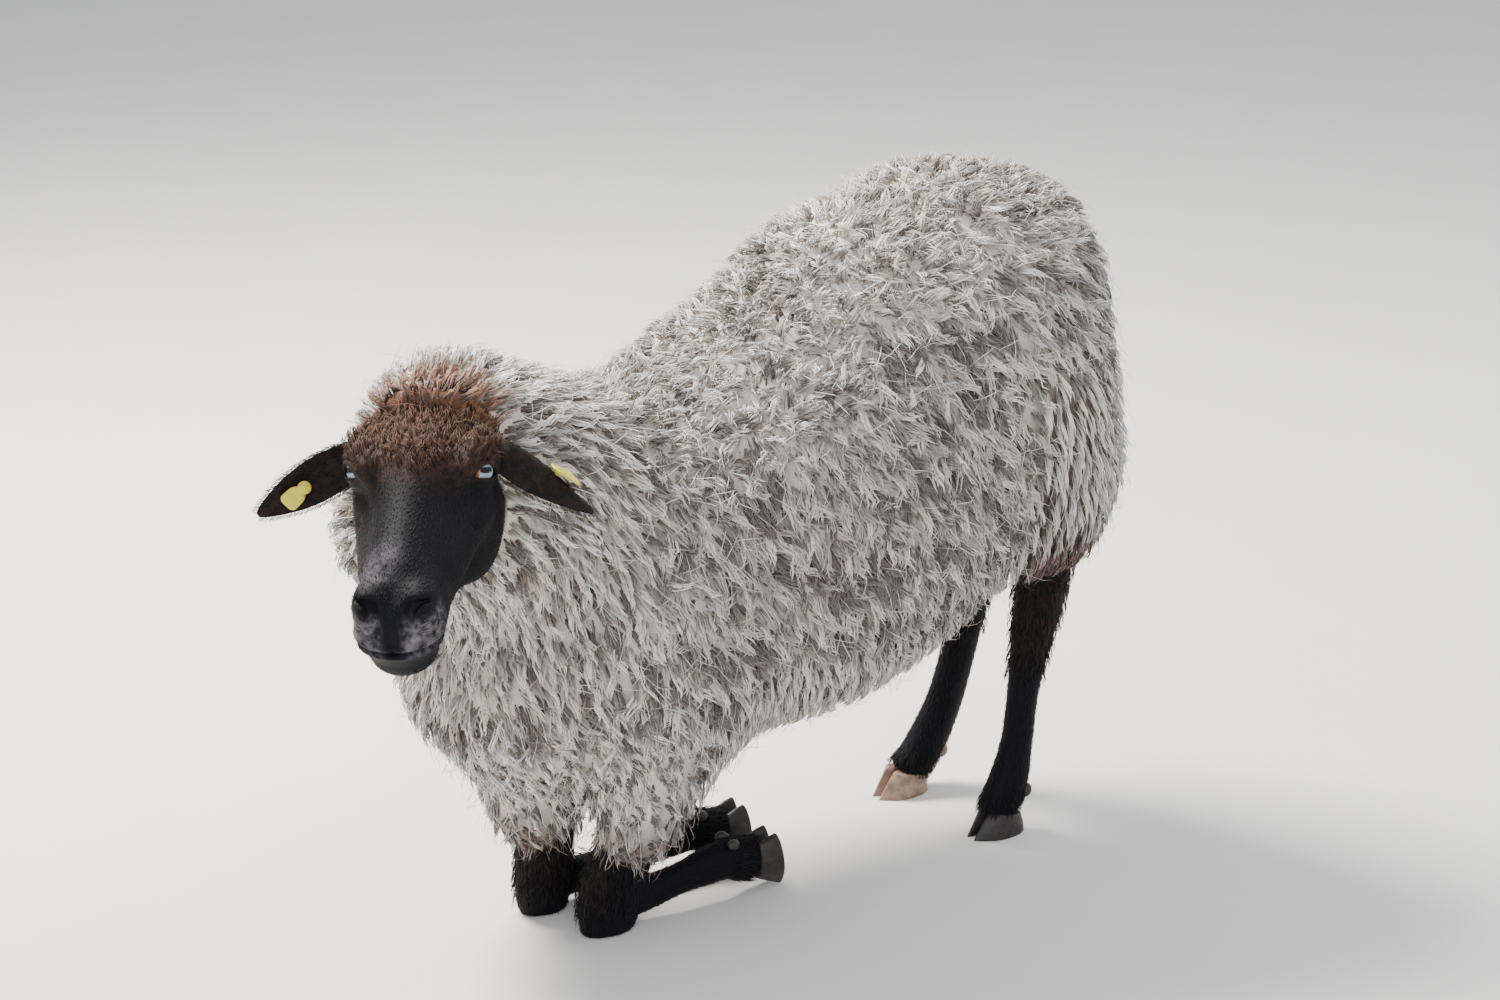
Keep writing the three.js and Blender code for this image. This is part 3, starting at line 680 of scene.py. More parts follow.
@dataclass(frozen=True)
class Lock:
    """How one kind of lock grows. Lengths in millimetres."""

    strands: int  # in a lock
    length: float
    width: float  # of a strand
    depth: float  # height gained from the root to the tip
    lift: float  # spread of that height
    spacing: float = 11.5  # between the middles of locks
    wave: float = 0.0  # swing to the side
    turns: float = 1.5  # waves along a strand
    draw: float = 0.6  # how far strands come together at the tip
    frizz: float = 0.3  # wandering of the lie, radians
    twist: float = 0.0  # turns of a lock about itself
    rings: int = 5  # in a strand, its tip among them
    clump: float = 24.0  # between the middles of clumps of locks
    tall: float = 1.0  # how much longer a clump is down than across
    gather: float = 0.0  # how far locks lean to the middle of their clump
    bunch: float = 0.0  # share of that lean already at the root
    disc: float = 0.62  # radius of a lock's foot, over the spacing
    sink: float = 0.0  # how much lower the edge of a clump lies
    fill: int = 0  # strands of a lock that are wide, short and low


@dataclass
class Strands:
    """Strands of one kind of lock, n of them."""

    line: Array  # centre lines (n, rings, 3)
    up: Array  # normals along them
    half: Array  # half widths (n, rings)
    root: Array  # where each lock starts (n, 3)
    chance: Array  # one number for each strand
    deep: Array  # how near the edge of a clump it stands, for the painted shade there
    pale: Array  # how pale it is


@dataclass
class Roots:
    """Places where locks start: points, outward normals and the lie of the coat."""

    at: Array
    normal: Array
    lie: Array
    inward: Array  # from each root to the middle of its clump

    def where(self, mask: Array) -> "Roots":
        """Only the chosen roots."""
        return Roots(self.at[mask], self.normal[mask], self.lie[mask], self.inward[mask])


def spaced(at: Array, near: float) -> Array:
    """Numbers of those places that are kept when none may be closer than near to another.

    Cells of a grid are filled in eight turns, so that no two cells filled together touch. A cell holds up to
    two places, the second in a second layer.
    """
    cell = np.floor((at - at.min(0)) / near).astype(np.int64) + 1
    around = np.stack(np.meshgrid(*[[-1, 0, 1]] * 3, indexing="ij"), -1).reshape(-1, 3)
    size = cell.max(0) + 2
    held = np.full((2, size.prod()), -1)
    turn = (cell % 2) @ [1, 2, 4]

    def number(k: Array) -> Array:
        """One number for a cell of the grid."""
        return (k[..., 0] * size[1] + k[..., 1]) * size[2] + k[..., 2]

    for layer in range(2):
        for k in range(8):
            mine = np.flatnonzero(turn == k)
            spots = held[:, number(cell[mine, None] + around)]
            gap = np.where(spots < 0, np.inf, ((at[spots] - at[mine][None, :, None]) ** 2).sum(-1))
            free = mine[gap.min((0, 2)) > near**2]
            key, first = np.unique(number(cell[free]), return_index=True)
            held[layer, key] = free[first]
    return held[held >= 0]


def nearest(p: Array, targets: Array, block: int) -> Array:
    """Number of the target that is nearest to each point, worked out for a block of points at a time."""
    found = np.empty(len(p), int)
    for i in range(0, len(p), block):
        gap = ((p[i:i + block, None] - targets[None]) ** 2).sum(-1)
        found[i:i + block] = gap.argmin(1)
    return found


def scatter(points: Array, tris: Array, spacing: float, rng: np.random.Generator, tries: int = 9) -> Array:
    """Even, random places on triangles.

    Args:
        points: corners of the triangles.
        tris: numbers of the corners (m, 3).
        spacing: between places.
        rng: source of chance.
        tries: how many places are tried in each square of that spacing.

    Returns:
        The places (n, 3).
    """
    a, b, c = (points[tris[:, i]] for i in range(3))
    area = np.linalg.norm(np.cross(b - a, c - a), axis=1) / 2
    n = int(area.sum() / spacing**2 * tries)
    pick = rng.choice(len(tris), n, p=area / area.sum())
    u, v = rng.random((2, n, 1))
    flip = u + v > 1
    u, v = np.where(flip, 1 - u, u), np.where(flip, 1 - v, v)
    at = a[pick] + u * (b - a)[pick] + v * (c - a)[pick]
    return at[spaced(at, LOCK_GAP * spacing)]


def clump_offsets(at: Array, spacing: float, tall: float) -> Array:
    """From each place to the middle of its clump, where clumps are tall times as long down as across."""
    squash = np.array([1, 1, 1 / tall])
    q = at * squash
    middles = q[spaced(q, CLUMP_GAP * spacing)]
    return (middles[nearest(q, middles, 1500)] - q) / squash


def grow(roots: Roots, kind: Lock, outline: Field | None, rng: np.random.Generator) -> Strands:
    """Strands of one kind of lock from its roots.

    A strand leaves its root, rises to its height as 1-(1-t)^1.7 and runs length along the lie, swung to the
    side and up and down by a wave. Strands of a lock start inside a disc and draw together towards the tip.
    Locks lean to the middle of their clump and lie lower at its edge. With an outline, every point is then
    moved along the outline's slope to its own height.

    Args:
        roots: middles of the locks.
        kind: the kind of lock.
        outline: distance to the coat's outline, or none where hair just follows the normal.
        rng: source of chance.

    Returns:
        The strands, none of them pale.
    """
    c, s, r = len(roots.at), kind.strands, kind.rings
    t = np.linspace(0, 1, r)
    # each lock's lie and its place in its clump
    turn = rng.normal(0, kind.frizz, c)[:, None]
    side0 = np.cross(roots.normal, roots.lie)
    lie = roots.lie * np.cos(turn) + side0 * np.sin(turn)
    side = np.cross(roots.normal, lie)
    lean = (roots.inward * side0).sum(-1).clip(-0.55 * kind.clump, 0.55 * kind.clump)
    if kind.tall > 1.5:
        edge = np.clip(np.abs(lean) / (0.5 * kind.clump), 0, 1)
    else:
        edge = np.clip(np.linalg.norm(roots.inward, axis=-1) / (0.62 * kind.clump), 0, 1)
    # the lock's own line, raised, swung and leant
    size = rng.uniform(0.75, 1.2, c)[:, None]
    phase = rng.random(c)[:, None]
    swing = kind.wave * t**0.8 * rng.uniform(0.6, 1.3, c)[:, None]
    angle = 2 * np.pi * (kind.turns * t * rng.uniform(0.8, 1.25, c)[:, None] + phase)
    rise = kind.depth + kind.lift * rng.uniform(-0.5, 1.0, c) - kind.sink * edge**2
    height = rise[:, None] * (1 - (1 - t) ** 1.7) + 0.7 * swing * np.cos(angle)
    draw_in = kind.gather * lean[:, None] * (kind.bunch + (1 - kind.bunch) * t**0.8)
    guide = (roots.at[:, None] + lie[:, None] * (kind.length * size * t)[..., None]
             + side[:, None] * (swing * np.sin(angle))[..., None] + roots.normal[:, None] * height[..., None]
             + side0[:, None] * draw_in[..., None])
    up = np.repeat(roots.normal[:, None], r, 1)
    if outline is not None:
        start = outline(roots.at)[:, None]
        for _ in range(2):
            up = slope(outline, guide, 2.0)
            gap = np.clip(start + height - outline(guide), -14, 14)
            guide = guide + up * gap[..., None]
    # strands round that line; the low ones fill in beneath the others
    spin = rng.random((c, s)) * 2 * np.pi
    out = kind.spacing * kind.disc * np.sqrt(rng.random((c, s)))
    draw = 1 - kind.draw * t**0.75
    spun = spin[..., None] + 2 * np.pi * kind.twist * t
    across = (out[..., None] * draw) * np.cos(spun)
    ahead = (out[..., None] * (0.35 + 0.65 * draw)) * np.sin(spun)
    own = kind.wave * 0.5 * t * np.sin(2 * np.pi * (kind.turns * 1.6 * t + rng.random((c, s, 1))))
    low = (np.arange(s) < kind.fill)[:, None]
    reach = kind.length * (rng.uniform(-0.22, 0.1, (c, s, 1)) - 0.15 * low) * t
    line = (guide[:, None] + side[:, None, None] * (across + own)[..., None]
            + lie[:, None, None] * (ahead + reach)[..., None]
            + up[:, None] * ((rng.uniform(-0.16, 0.10, (c, s, 1)) - 0.32 * low) * kind.depth * t)[..., None])
    line[..., 2] = np.maximum(line[..., 2], HAIR_FLOOR)
    shape = (0.62 + 1.1 * t - 0.9 * t * t) * np.minimum(1, 4 * (1 - t)) ** 0.6
    half = kind.width * 0.5 * rng.uniform(0.6, 1.3, (c, s, 1)) * shape * (1 + 1.1 * low)
    chance = 0.6 * np.repeat(rng.random(c), s) + 0.4 * rng.random(c * s)
    # painted shade for strands at the sunken edge of a clump
    deep = np.repeat(edge**2 * (kind.sink > 0), s)
    up = np.repeat(up, s, 0)
    return Strands(line.reshape(c * s, r, 3), up, half.reshape(c * s, r), np.repeat(roots.at, s, 0), chance,
                   deep, np.zeros(c * s))


def strand_shell(g: Strands) -> tuple[Shell, Array]:
    """Closed three-sided strands, flat side out, drawn to a point at the tip.

    Returns:
        The surface, and the place (k, t) of each face's corners round and along the strand.
    """
    n, r = g.line.shape[:2]
    along = unit(np.gradient(g.line, axis=1))
    side = unit(np.cross(along, g.up))
    rise = np.cross(side, along)
    a = np.array([1 / 6, 5 / 6, 9 / 6]) * np.pi
    ring = (g.line[:, :-1, None] + g.half[:, :-1, None, None] * (side[:, :-1, None] * np.cos(a)[:, None]
            + rise[:, :-1, None] * (0.62 * np.sin(a))[:, None]))
    per = 3 * (r - 1) + 1
    points = np.concatenate([ring.reshape(n, -1, 3), g.line[:, -1:]], 1)
    faces, corner = [[0, 1, 2]], [[(0, 0), (1, 0), (2, 0)]]
    for i in range(r - 1):
        for k in range(3):
            p, q = 3 * i + k, 3 * i + (k + 1) % 3
            if i < r - 2:
                faces += [[p, p + 3, q], [q, p + 3, q + 3]]
                corner += [[(k, i), (k, i + 1), (k + 1, i)], [(k + 1, i), (k, i + 1), (k + 1, i + 1)]]
            else:
                faces.append([p, per - 1, q])
                corner.append([(k, i), (k + 0.5, i + 1), (k + 1, i)])
    corner = np.array(corner, float) / [3, r - 1]
    corner[0] = [(0, 0), (0.5, 0), (0.25, 0.15)]
    every = (np.arange(n)[:, None, None] * per + np.array(faces)).reshape(-1, 3)
    return Shell(points.reshape(-1, 3), every), corner


@dataclass
class Coat:
    """One piece of the coat: strands of one or more kinds, joined in one mesh."""

    name: str
    slot: str
    unwrap: Callable[[Array], Array]
    batches: list[Strands] = field(default_factory=list)

    def add(self, strands: Strands) -> None:
        """Takes in some strands."""
        self.batches.append(strands)

    def build(self, finish: bpy.types.Material) -> bpy.types.Object:
        """The mesh with its colours and maps.

        Each vertex stores Pelt (dark, brown, place along the strand, chance) and Accent (grey hair with a
        painted sheen, rusty, pale, painted shade at a clump's edge). OFBake gives every strand a small patch
        at its root's place on the unwrapped skin.
        """
        shells, pelt, accent, unrolled, bake = [], [], [], [], []
        roots = np.concatenate([g.root for g in self.batches])
        places = np.split(self.unwrap(roots), np.cumsum([len(g.root) for g in self.batches])[:-1])
        for g, place in zip(self.batches, places):
            shell, corner = strand_shell(g)
            shells.append(shell)
            n, r = g.line.shape[:2]
            per = 3 * (r - 1) + 1
            t = np.concatenate([np.repeat(np.arange(r - 1), 3), [r - 1]]) / (r - 1)
            pelt.append(np.column_stack([np.repeat(markings(g.root), per, 0), np.tile(t, n),
                                         np.repeat(g.chance, per)]))
            accent.append(np.repeat(np.column_stack([accents(g.root), g.pale, g.deep]), per, 0))
            tile = corner.reshape(-1, 2)
            unrolled.append((tile[None] + g.chance[:, None, None] * [7.0, 3.0]).reshape(-1, 2))
            bake.append((place[:, None] + PATCH * (tile[None] - 0.5)).reshape(-1, 2))
        mesh = make_mesh(self.name, merged(shells))
        add_colour(mesh, "Pelt", np.concatenate(pelt))
        add_colour(mesh, "Accent", np.concatenate(accent))
        add_map(mesh, "Strand", np.concatenate(unrolled))
        add_map(mesh, "OFBake", np.concatenate(bake))
        return finished(self.name, mesh, finish, self.slot)


def add_map(mesh: bpy.types.Mesh, name: str, uv: Array) -> None:
    """Stores a UV map, one pair for each face corner."""
    mesh.uv_layers.new(name=name).data.foreach_set("uv", uv.astype(np.float32).ravel())


def finished(name: str, mesh: bpy.types.Mesh, finish: bpy.types.Material, slot: str,
             nodes: Iterable[str] = ()) -> bpy.types.Object:
    """Makes the object of a piece, riding the root, in place of the given solids."""
    mesh.materials.clear()
    mesh.materials.append(finish)
    ob = make_object(name, mesh)
    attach(ob, "root")
    if nodes:
        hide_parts(*nodes)
    log.info("%s: %d triangles", name, len(mesh.polygons))
    return ob


def round_axis(p: Array, start: Array, end: Array) -> Array:
    """Angle round an axis and place along it, as whole turns and a share of its length."""
    along = unit(np.asarray(end, float) - start)
    side = unit(np.cross(along, [0.3, 0.2, 1.0]))
    rise = np.cross(side, along)
    q = p - start
    angle = np.arctan2(q @ side, q @ rise)
    return np.stack([angle / (2 * np.pi) + 0.5, q @ along / np.linalg.norm(end - start)], -1)


def spread(uv: Array) -> Array:
    """A map stretched to fill the square, less a narrow edge."""
    low, high = uv.min(0), uv.max(0)
    return 0.01 + 0.98 * (uv - low) / np.maximum(high - low, 1e-6)


def body_map(p: Array) -> Array:
    """Unwrap round the body."""
    return spread(round_axis(p, np.array([0, -420.0, 420]), np.array([0, 480.0, 560])))


def head_map(p: Array) -> Array:
    """Unwrap round the head."""
    back, nose = HEAD_PLACE.out(np.array([[0, 130.0, 0], [0, -200.0, -40]]))
    return spread(round_axis(p, back, nose))


def leg_map(p: Array) -> Array:
    """Unwrap of the four legs, each rolled out round its own axis in a quarter of the map's width."""
    x, y, z = p.T
    rear, side = y > REAR, np.sign(x)
    hind = np.arctan2(x - side * 81, y - 395)
    fore = np.arctan2(x - side * 44, z - 34)
    angle = np.where(rear, hind, fore)
    along = np.where(rear, z / 340, (y + 270) / 330)
    return spread(np.stack([(2 * rear + (x > 0) + angle / (2 * np.pi) + 0.5) / 4, along.clip(0, 1)], -1))


def laid(n: Array, pull: Array) -> Array:
    """Pull, one way or one for each normal, laid along the surface."""
    return unit(pull - (pull * n).sum(-1, keepdims=True) * n)


class Wool(Enum):
    """The kinds of wool on the body."""

    TOP = Lock(7, 24, 2.0, 18, 3, wave=2.0, turns=1.0, draw=0.35, frizz=1.1, rings=4, clump=30, sink=1,
               fill=2)
    SIDE = Lock(6, 38, 2.1, 18, 2.5, wave=3.0, turns=1.4, draw=0.5, frizz=0.45, clump=34, tall=1.4,
                gather=0.2, sink=3, fill=2)
    CORD = Lock(5, 38, 2.6, 18, 1.0, wave=1.2, turns=1.8, draw=0.35, frizz=0.08, twist=0.5, clump=20, tall=9,
                gather=0.85, bunch=0.75, disc=0.34, sink=14)
    RUFF = Lock(6, 34, 2.1, 18, 2.5, wave=2.4, turns=1.4, draw=0.6, frizz=0.25, clump=24, tall=2.5,
                gather=0.5, bunch=0.4, disc=0.5, sink=5, fill=2)
    CURL = Lock(5, 24, 2.6, 13, 1.5, wave=2.4, turns=1.2, draw=0.6, frizz=0.4, twist=0.5, clump=26, tall=1.3,
                gather=0.75, bunch=0.6, disc=0.45, sink=9, fill=1)


class Hair(Enum):
    """Single fibres in the wool, and the kinds of hair on head and legs."""

    WISP = Lock(1, 46, 0.8, 24, 6, spacing=18, wave=1.6, turns=0.8, frizz=0.9)
    CROWN = Lock(4, 13, 1.2, 6, 2.5, spacing=5.6, wave=1.1, turns=1.1, draw=0.3, frizz=0.5, rings=4)
    FACE = Lock(1, 5.5, 0.8, 0.7, 0.25, spacing=3.9, frizz=0.12, rings=3)
    EAR = Lock(1, 7, 0.8, 0.9, 0.3, spacing=4.2, frizz=0.2, rings=3)
    RIM = Lock(1, 6, 0.7, 2.4, 1.0, spacing=3, frizz=0.3, rings=3)
    LEG = Lock(1, 9, 1.1, 1.3, 0.5, spacing=4.9, frizz=0.14, rings=3)
    FETLOCK = Lock(2, 15, 1.1, 3, 0.5, spacing=4.5, frizz=0.14, rings=3)
    FRINGE = Lock(3, 22, 1.3, 4.5, 2.5, spacing=7.5, wave=1.5, draw=0.5, frizz=0.25, rings=4)


RIM_HAIRS = 260  # along each edge of an ear
EYE_CLEAR = 20.0  # no hair grows this near the middle of an eye, mm
MUZZLE = -186.0  # nor in front of this in the head's frame
CHEST = 430.0  # the neck's wool parts from the brisket's at this height, mm
PARTINGS = (-300.0, -60.0, 130.0, 320.0)  # where the pieces of wool part along the animal, mm
WOOL_PARTS = ("brisket", "neck", "shoulder_right", "shoulder_left", "side_right", "side_left", "flank_right",
              "flank_left", "rump_right", "rump_left")


def wool_kind(p: Array, n: Array, rng: np.random.Generator) -> Array:
    """Kind of wool at each place: the strongest of five soft regions, with edges left to chance.

    Args:
        p: places (n, 3) in the animal's frame.
        n: normals there.
        rng: source of chance.

    Returns:
        Places in the list of Wool (n,).
    """
    _, y, z = p.T
    dice = rng.normal(0, 0.10, (5, len(p)))
    top = ramp(n[:, 2], 0.35, 0.75) * ramp(y, -260, -160)
    ruff = ramp(-y, 140, 240) * ramp(z, 300, 360)
    curl = ramp(-z, -330, -250) * ramp(-y, 60, 110) * 1.2
    scores = np.stack([top, np.full(len(p), 0.55), 1.1 * corded(p), ruff, curl]) + dice
    return scores.argmax(0)


def wool_region(p: Array) -> Array:
    """Place in WOOL_PARTS of the piece that wool belongs to."""
    x, y, z = p.T
    band = np.digitize(y, PARTINGS)
    return 2 * band + np.where(band == 0, z > CHEST, x > 0)


def wool_pull(p: Array) -> Array:
    """The way wool points: down, a little back where it has no cords, and near the head away from it."""
    near = ramp(-np.linalg.norm(p - np.array(HEAD_PLACE.at), axis=1), -260, -140)[:, None]
    away = unit(p - HEAD_PLACE.out(np.array([0, -60.0, -20])))
    none = np.zeros(len(p))
    down = np.stack([none, 0.35 * (1 - corded(p)), none - 1], -1)
    return down * (1 - 0.6 * near) + away * near


def face_pull(p: Array) -> Array:
    """The way hair points on the face: up the nose, back over the cheeks and down the jaw."""
    x, _, z = HEAD_PLACE.into(p).T
    way = np.stack([0.25 * np.sign(x) * ramp(z, -30, 10), np.ones(len(x)), -0.7 * ramp(-z, 0, 60)], -1)
    return way @ HEAD_PLACE.turn.T


def leg_pull(p: Array) -> Array:
    """The way hair points on the legs: down the standing ones, back along the folded ones."""
    folded = ((p[:, 1] > KNEES) & (p[:, 1] < REAR))[:, None]
    return np.where(folded, [0.0, 1.0, -0.15], [0.0, -0.12, -1.0])


def one_way(way: Array) -> Field:
    """A pull that is the same everywhere."""
    return lambda p: np.tile(way, (len(p), 1))


# ---------- small hard pieces ----------
def eye_ball(side: int) -> tuple[Shell, Array]:
    """An eyeball with a bulging cornea.

    Args:
        side: +1 for the left.

    Returns:
        The ball, and each face corner's place across and up the eye as 0.5 + mm / GAZE.
    """
    angle = np.concatenate([np.linspace(0.04, 1.2, 16), np.linspace(1.35, np.pi - 0.1, 9)])
    radius = EYE_SEAT.radius * (1 + 0.05 * np.exp(-((angle / 0.55) ** 2)))
    a = np.linspace(0, 2 * np.pi, 36, endpoint=False)
    flat = np.stack([np.sin(angle)[:, None] * np.cos(a), np.sin(angle)[:, None] * np.sin(a),
                     np.repeat(np.cos(angle)[:, None], 36, 1)], -1) * radius[:, None, None]
    shell = outward(capped(flat))
    q = shell.points @ EYE_SEAT.axes + np.array(EYE_SEAT.at)
    gaze = 0.5 + shell.points[shell.faces.ravel(), :2] / GAZE
    q[:, 0] *= side
    return outward(Shell(HEAD_PLACE.out(q), shell.faces)), gaze


def rounded(outline: list[tuple[float, float]], times: int = 3) -> Array:
    """An outline with its corners cut, again and again."""
    p = np.array(outline, float)
    for _ in range(times):
        q = np.roll(p, -1, 0)
        p = np.stack([0.8 * p + 0.2 * q, 0.2 * p + 0.8 * q], 1).reshape(-1, 2)
    return p


def slab(outline: Array, low: float, high: float, edge: float = 0.45) -> Shell:
    """A plate in x and z with a rounded edge, from low to high along y."""
    mid = outline.mean(0)
    inner = outline + (mid - outline) * edge / np.linalg.norm(mid - outline, axis=1, keepdims=True)
    rows = [(inner, low), (outline, low + edge), (outline, high - edge), (inner, high)]
    rings = np.array([np.column_stack([o[:, 0], np.full(len(o), y), o[:, 1]]) for o, y in rows])
    return capped(rings)


def disc(radius: float, low: float, high: float, at: float, edge: float = 0.5) -> Shell:
    """A round bar along y at height at on the z axis."""
    a = np.linspace(0, 2 * np.pi, 28, endpoint=False)
    return slab(np.stack([radius * np.cos(a), at + radius * np.sin(a)], -1), low, high, edge)


@dataclass(frozen=True)
class EarTag:
    """A two-part tag through an ear, in the ear's frame."""

    ear: Ear
    share: float = 0.56  # the pin's place along the ear
    turn: float = 12.0  # how far the plates hang to the lower edge, degrees

    def hang(self, outline: list[tuple[float, float]]) -> Array:
        """An outline turned about the pin and moved to it."""
        c, s = math.cos(math.radians(self.turn)), math.sin(math.radians(self.turn)) * self.ear.side
        x, z = rounded(outline).T
        return np.stack([c * x + s * z, c * z - s * x + self.share * self.ear.length], -1)

    def halves(self) -> dict[str, Shell]:
        """The bell in front with the pin, and the flag behind."""
        at = self.share * self.ear.length
        mid = -0.465 * (self.ear.cup[0] - self.ear.cup[1] * self.share)
        lift = 0.17 * self.ear.cup[0]
        bell = self.hang([(-5, 3), (5, 3), (9, 9), (9.5, 25), (-9.5, 25), (-9, 9)])
        flag = self.hang([(-8, -8), (8, -8), (11, 6), (16, 22), (-16, 22), (-11, 6)])
        front = merged([disc(6.5, lift, lift + 3, at, 0.9), slab(bell, lift + 0.4, lift + 2.2),
                        disc(3.2, lift + 2.6, lift + 3.9, at), disc(2, mid - 9.2, lift + 2, at)])
        back = merged([slab(flag, mid - 8.1, mid - 6.3), disc(6, mid - 8.4, mid - 4.2, at, 0.9)])
        return {name: outward(Shell(self.ear.out(half.points), half.faces))
                for name, half in (("front", front), ("back", back))}


def claw(foot: Foot, side: int) -> Shell:
    """One claw of a foot: a rounded wedge, toe towards -Y, spread from its neighbour, turned and moved."""
    t = np.array([0, 0.02, 0.08, 0.2, 0.35, 0.5, 0.65, 0.8, 0.92, 1.0, 1.04])
    k = np.interp(t, [0, 0.02, 0.08, 0.5, 1, 1.04], [0.93, 0.98, 1, 0.95, 0.82, 0.74])
    back = np.interp(t, [0, 0.5, 1, 1.04], [1, 12, 23, 24])
    a = np.linspace(0, 2 * np.pi, 36, endpoint=False)
    along = -np.cos(a)
    taper = np.where(along < 0, 1 - 0.6 * along**2, 1)
    bulge = 0.775 + 0.225 * np.tanh(6 * np.sin(a) * side)
    x = np.sin(a) * 15.5 * taper * bulge * k[:, None]
    y = along * 37 * np.where(along < 0, 1, k[:, None]) + back[:, None] * np.where(along < 0, -along, 0.1)
    ridge = 1 + 0.012 * np.sin(t * 26)[:, None]
    z = t[:, None] * (38 - 0.18 * (y + 37))
    p = np.stack([x * ridge, y, z], -1) @ turned("Z", -5 * side).T + [side * 9.7, 0, 0]
    p = p @ turned("X", foot.turn).T + foot.at
    p[..., 2] = np.maximum(p[..., 2], HORN_FLOOR)
    return outward(capped(p))


def dewclaw(foot: Foot, side: int) -> Shell:
    """One blunt dewclaw behind the fetlock."""
    a, b = np.meshgrid(np.linspace(0.1, np.pi - 0.1, 12), np.linspace(0, 2 * np.pi, 20, endpoint=False),
                       indexing="ij")
    p = np.stack([6 * np.sin(a) * np.cos(b), 7 * np.sin(a) * np.sin(b), 9 * np.cos(a)], -1)
    p = p @ (turned("Z", side * 14) @ turned("X", foot.dew_turn)).T + foot.dew + np.array([side * 13, 0, 0])
    return outward(capped(p))


# ---------- finishes ----------
Colour = tuple[float, float, float]


@dataclass(frozen=True)
class PeltFinish:
    """Colours of wool and hair, at the root and at the tip; the darker root colours are painted shade among
    the strands.
    """

    # painted shade: the wool's root colour is darker than its tip, for the shade among the strands
    wool: tuple[Colour, Colour] = ((0.60, 0.52, 0.43), (0.94, 0.895, 0.815))
    shade: Colour = (0.76, 0.69, 0.64)  # the wool's greyer colour: painted shade low on the body, mixed in patches that are the wool's own
    gap: Colour = (0.06, 0.034, 0.021)  # painted shade deep between clumps and cords, and on the skin under the cords
    brown: tuple[Colour, Colour] = ((0.05, 0.024, 0.015), (0.24, 0.115, 0.068))
    dark: tuple[Colour, Colour] = ((0.0032, 0.0032, 0.0045), (0.0085, 0.0082, 0.0105))
    # grey hairs, and the painted sheen on the nose's bridge
    grey: Colour = (0.135, 0.127, 0.14)
    rust: Colour = (0.045, 0.024, 0.015)
    pale: Colour = (0.42, 0.36, 0.31)


@dataclass(frozen=True)
class HardFinish:
    """A plain hard surface with a little mottling."""

    colour: Colour
    other: Colour
    roughness: float
    scale: float  # of the mottling
    bump: float  # depth of the mottling, metres


TAG = HardFinish((0.60, 0.52, 0.03), (0.52, 0.44, 0.025), 0.38, 60, 0.0002)
CLAW = HardFinish((0.007, 0.006, 0.0055), (0.024, 0.018, 0.015), 0.5, 120, 0.0005)
PALE_CLAW = HardFinish((0.30, 0.19, 0.14), (0.16, 0.10, 0.075), 0.5, 90, 0.0006)
FLOOR = HardFinish((0.72, 0.71, 0.69), (0.74, 0.73, 0.71), 0.9, 3, 0)


@dataclass(frozen=True)
class EyeFinish:
    """Colours of the eyeball, and sizes of its parts in millimetres."""

    iris: tuple[Colour, Colour] = ((0.20, 0.25, 0.29), (0.46, 0.55, 0.60))  # inside and outside; their pale blue is a painted reflection of the sky
    pupil: Colour = (0.006, 0.007, 0.012)
    rim: Colour = (0.035, 0.028, 0.026)
    corner: Colour = (0.42, 0.16, 0.05)
    bar: tuple[float, float] = (7, 2.8)  # half length and half height of the pupil
    lift: float = 1.6  # of the pupil above the middle


class Graph:
    """Short calls for building a node tree."""

    def __init__(self, tree: bpy.types.NodeTree) -> None:
        """Takes the tree to build in."""
        self.tree = tree

    def add(self, kind: str, props: dict | None = None, **inputs):
        """A node of a kind with settings, and inputs by name or (as _0, _1) by number, linked or set."""
        node = self.tree.nodes.new("ShaderNode" + kind)
        for key, value in (props or {}).items():
            setattr(node, key, value)
        for key, value in inputs.items():
            socket = node.inputs[int(key[1:])] if key[0] == "_" else node.inputs[key.replace("_", " ")]
            self.put(socket, value)
        return node

    def put(self, socket, value) -> None:
        """Links a socket to another or sets it to a number or a colour."""
        if isinstance(value, bpy.types.NodeSocket):
            self.tree.links.new(value, socket)
        elif isinstance(value, tuple) and socket.type == "RGBA":
            socket.default_value = (*value, 1)
        else:
            socket.default_value = value

    def mix(self, a, b, share, mode: str = "MIX"):
        """Colour between a and b."""
        node = self.add("Mix", {"data_type": "RGBA", "blend_type": mode})
        for number, value in ((0, share), (6, a), (7, b)):
            self.put(node.inputs[number], value)
        return node.outputs[2]

    def math(self, operation: str, a, b=0.0, c=0.0):
        """Arithmetic on single numbers."""
        return self.add("Math", {"operation": operation}, _0=a, _1=b, _2=c).outputs[0]

    def plus(self, a, b):
        """Sum."""
        return self.math("ADD", a, b)

    def times(self, a, b):
        """Product."""
        return self.math("MULTIPLY", a, b)

    def scaled(self, a, factor, shift):
        """Product with a factor, plus a shift."""
        return self.math("MULTIPLY_ADD", a, factor, shift)

    def ramp(self, value, low: float, high: float, start: float = 0.0, end: float = 1.0):
        """Smooth step of a number."""
        return self.add("MapRange", {"interpolation_type": "SMOOTHSTEP"}, _0=value, _1=low, _2=high, _3=start,
                        _4=end).outputs[0]

    def noise(self, scale: float, detail: float = 2.0, vector=None, rough: float = 0.5):
        """Noise from 0 to 1, in object coordinates unless a vector is given."""
        vector = vector or self.add("TexCoord").outputs["Object"]
        return self.add("TexNoise", Vector=vector, Scale=scale, Detail=detail, Roughness=rough).outputs[0]


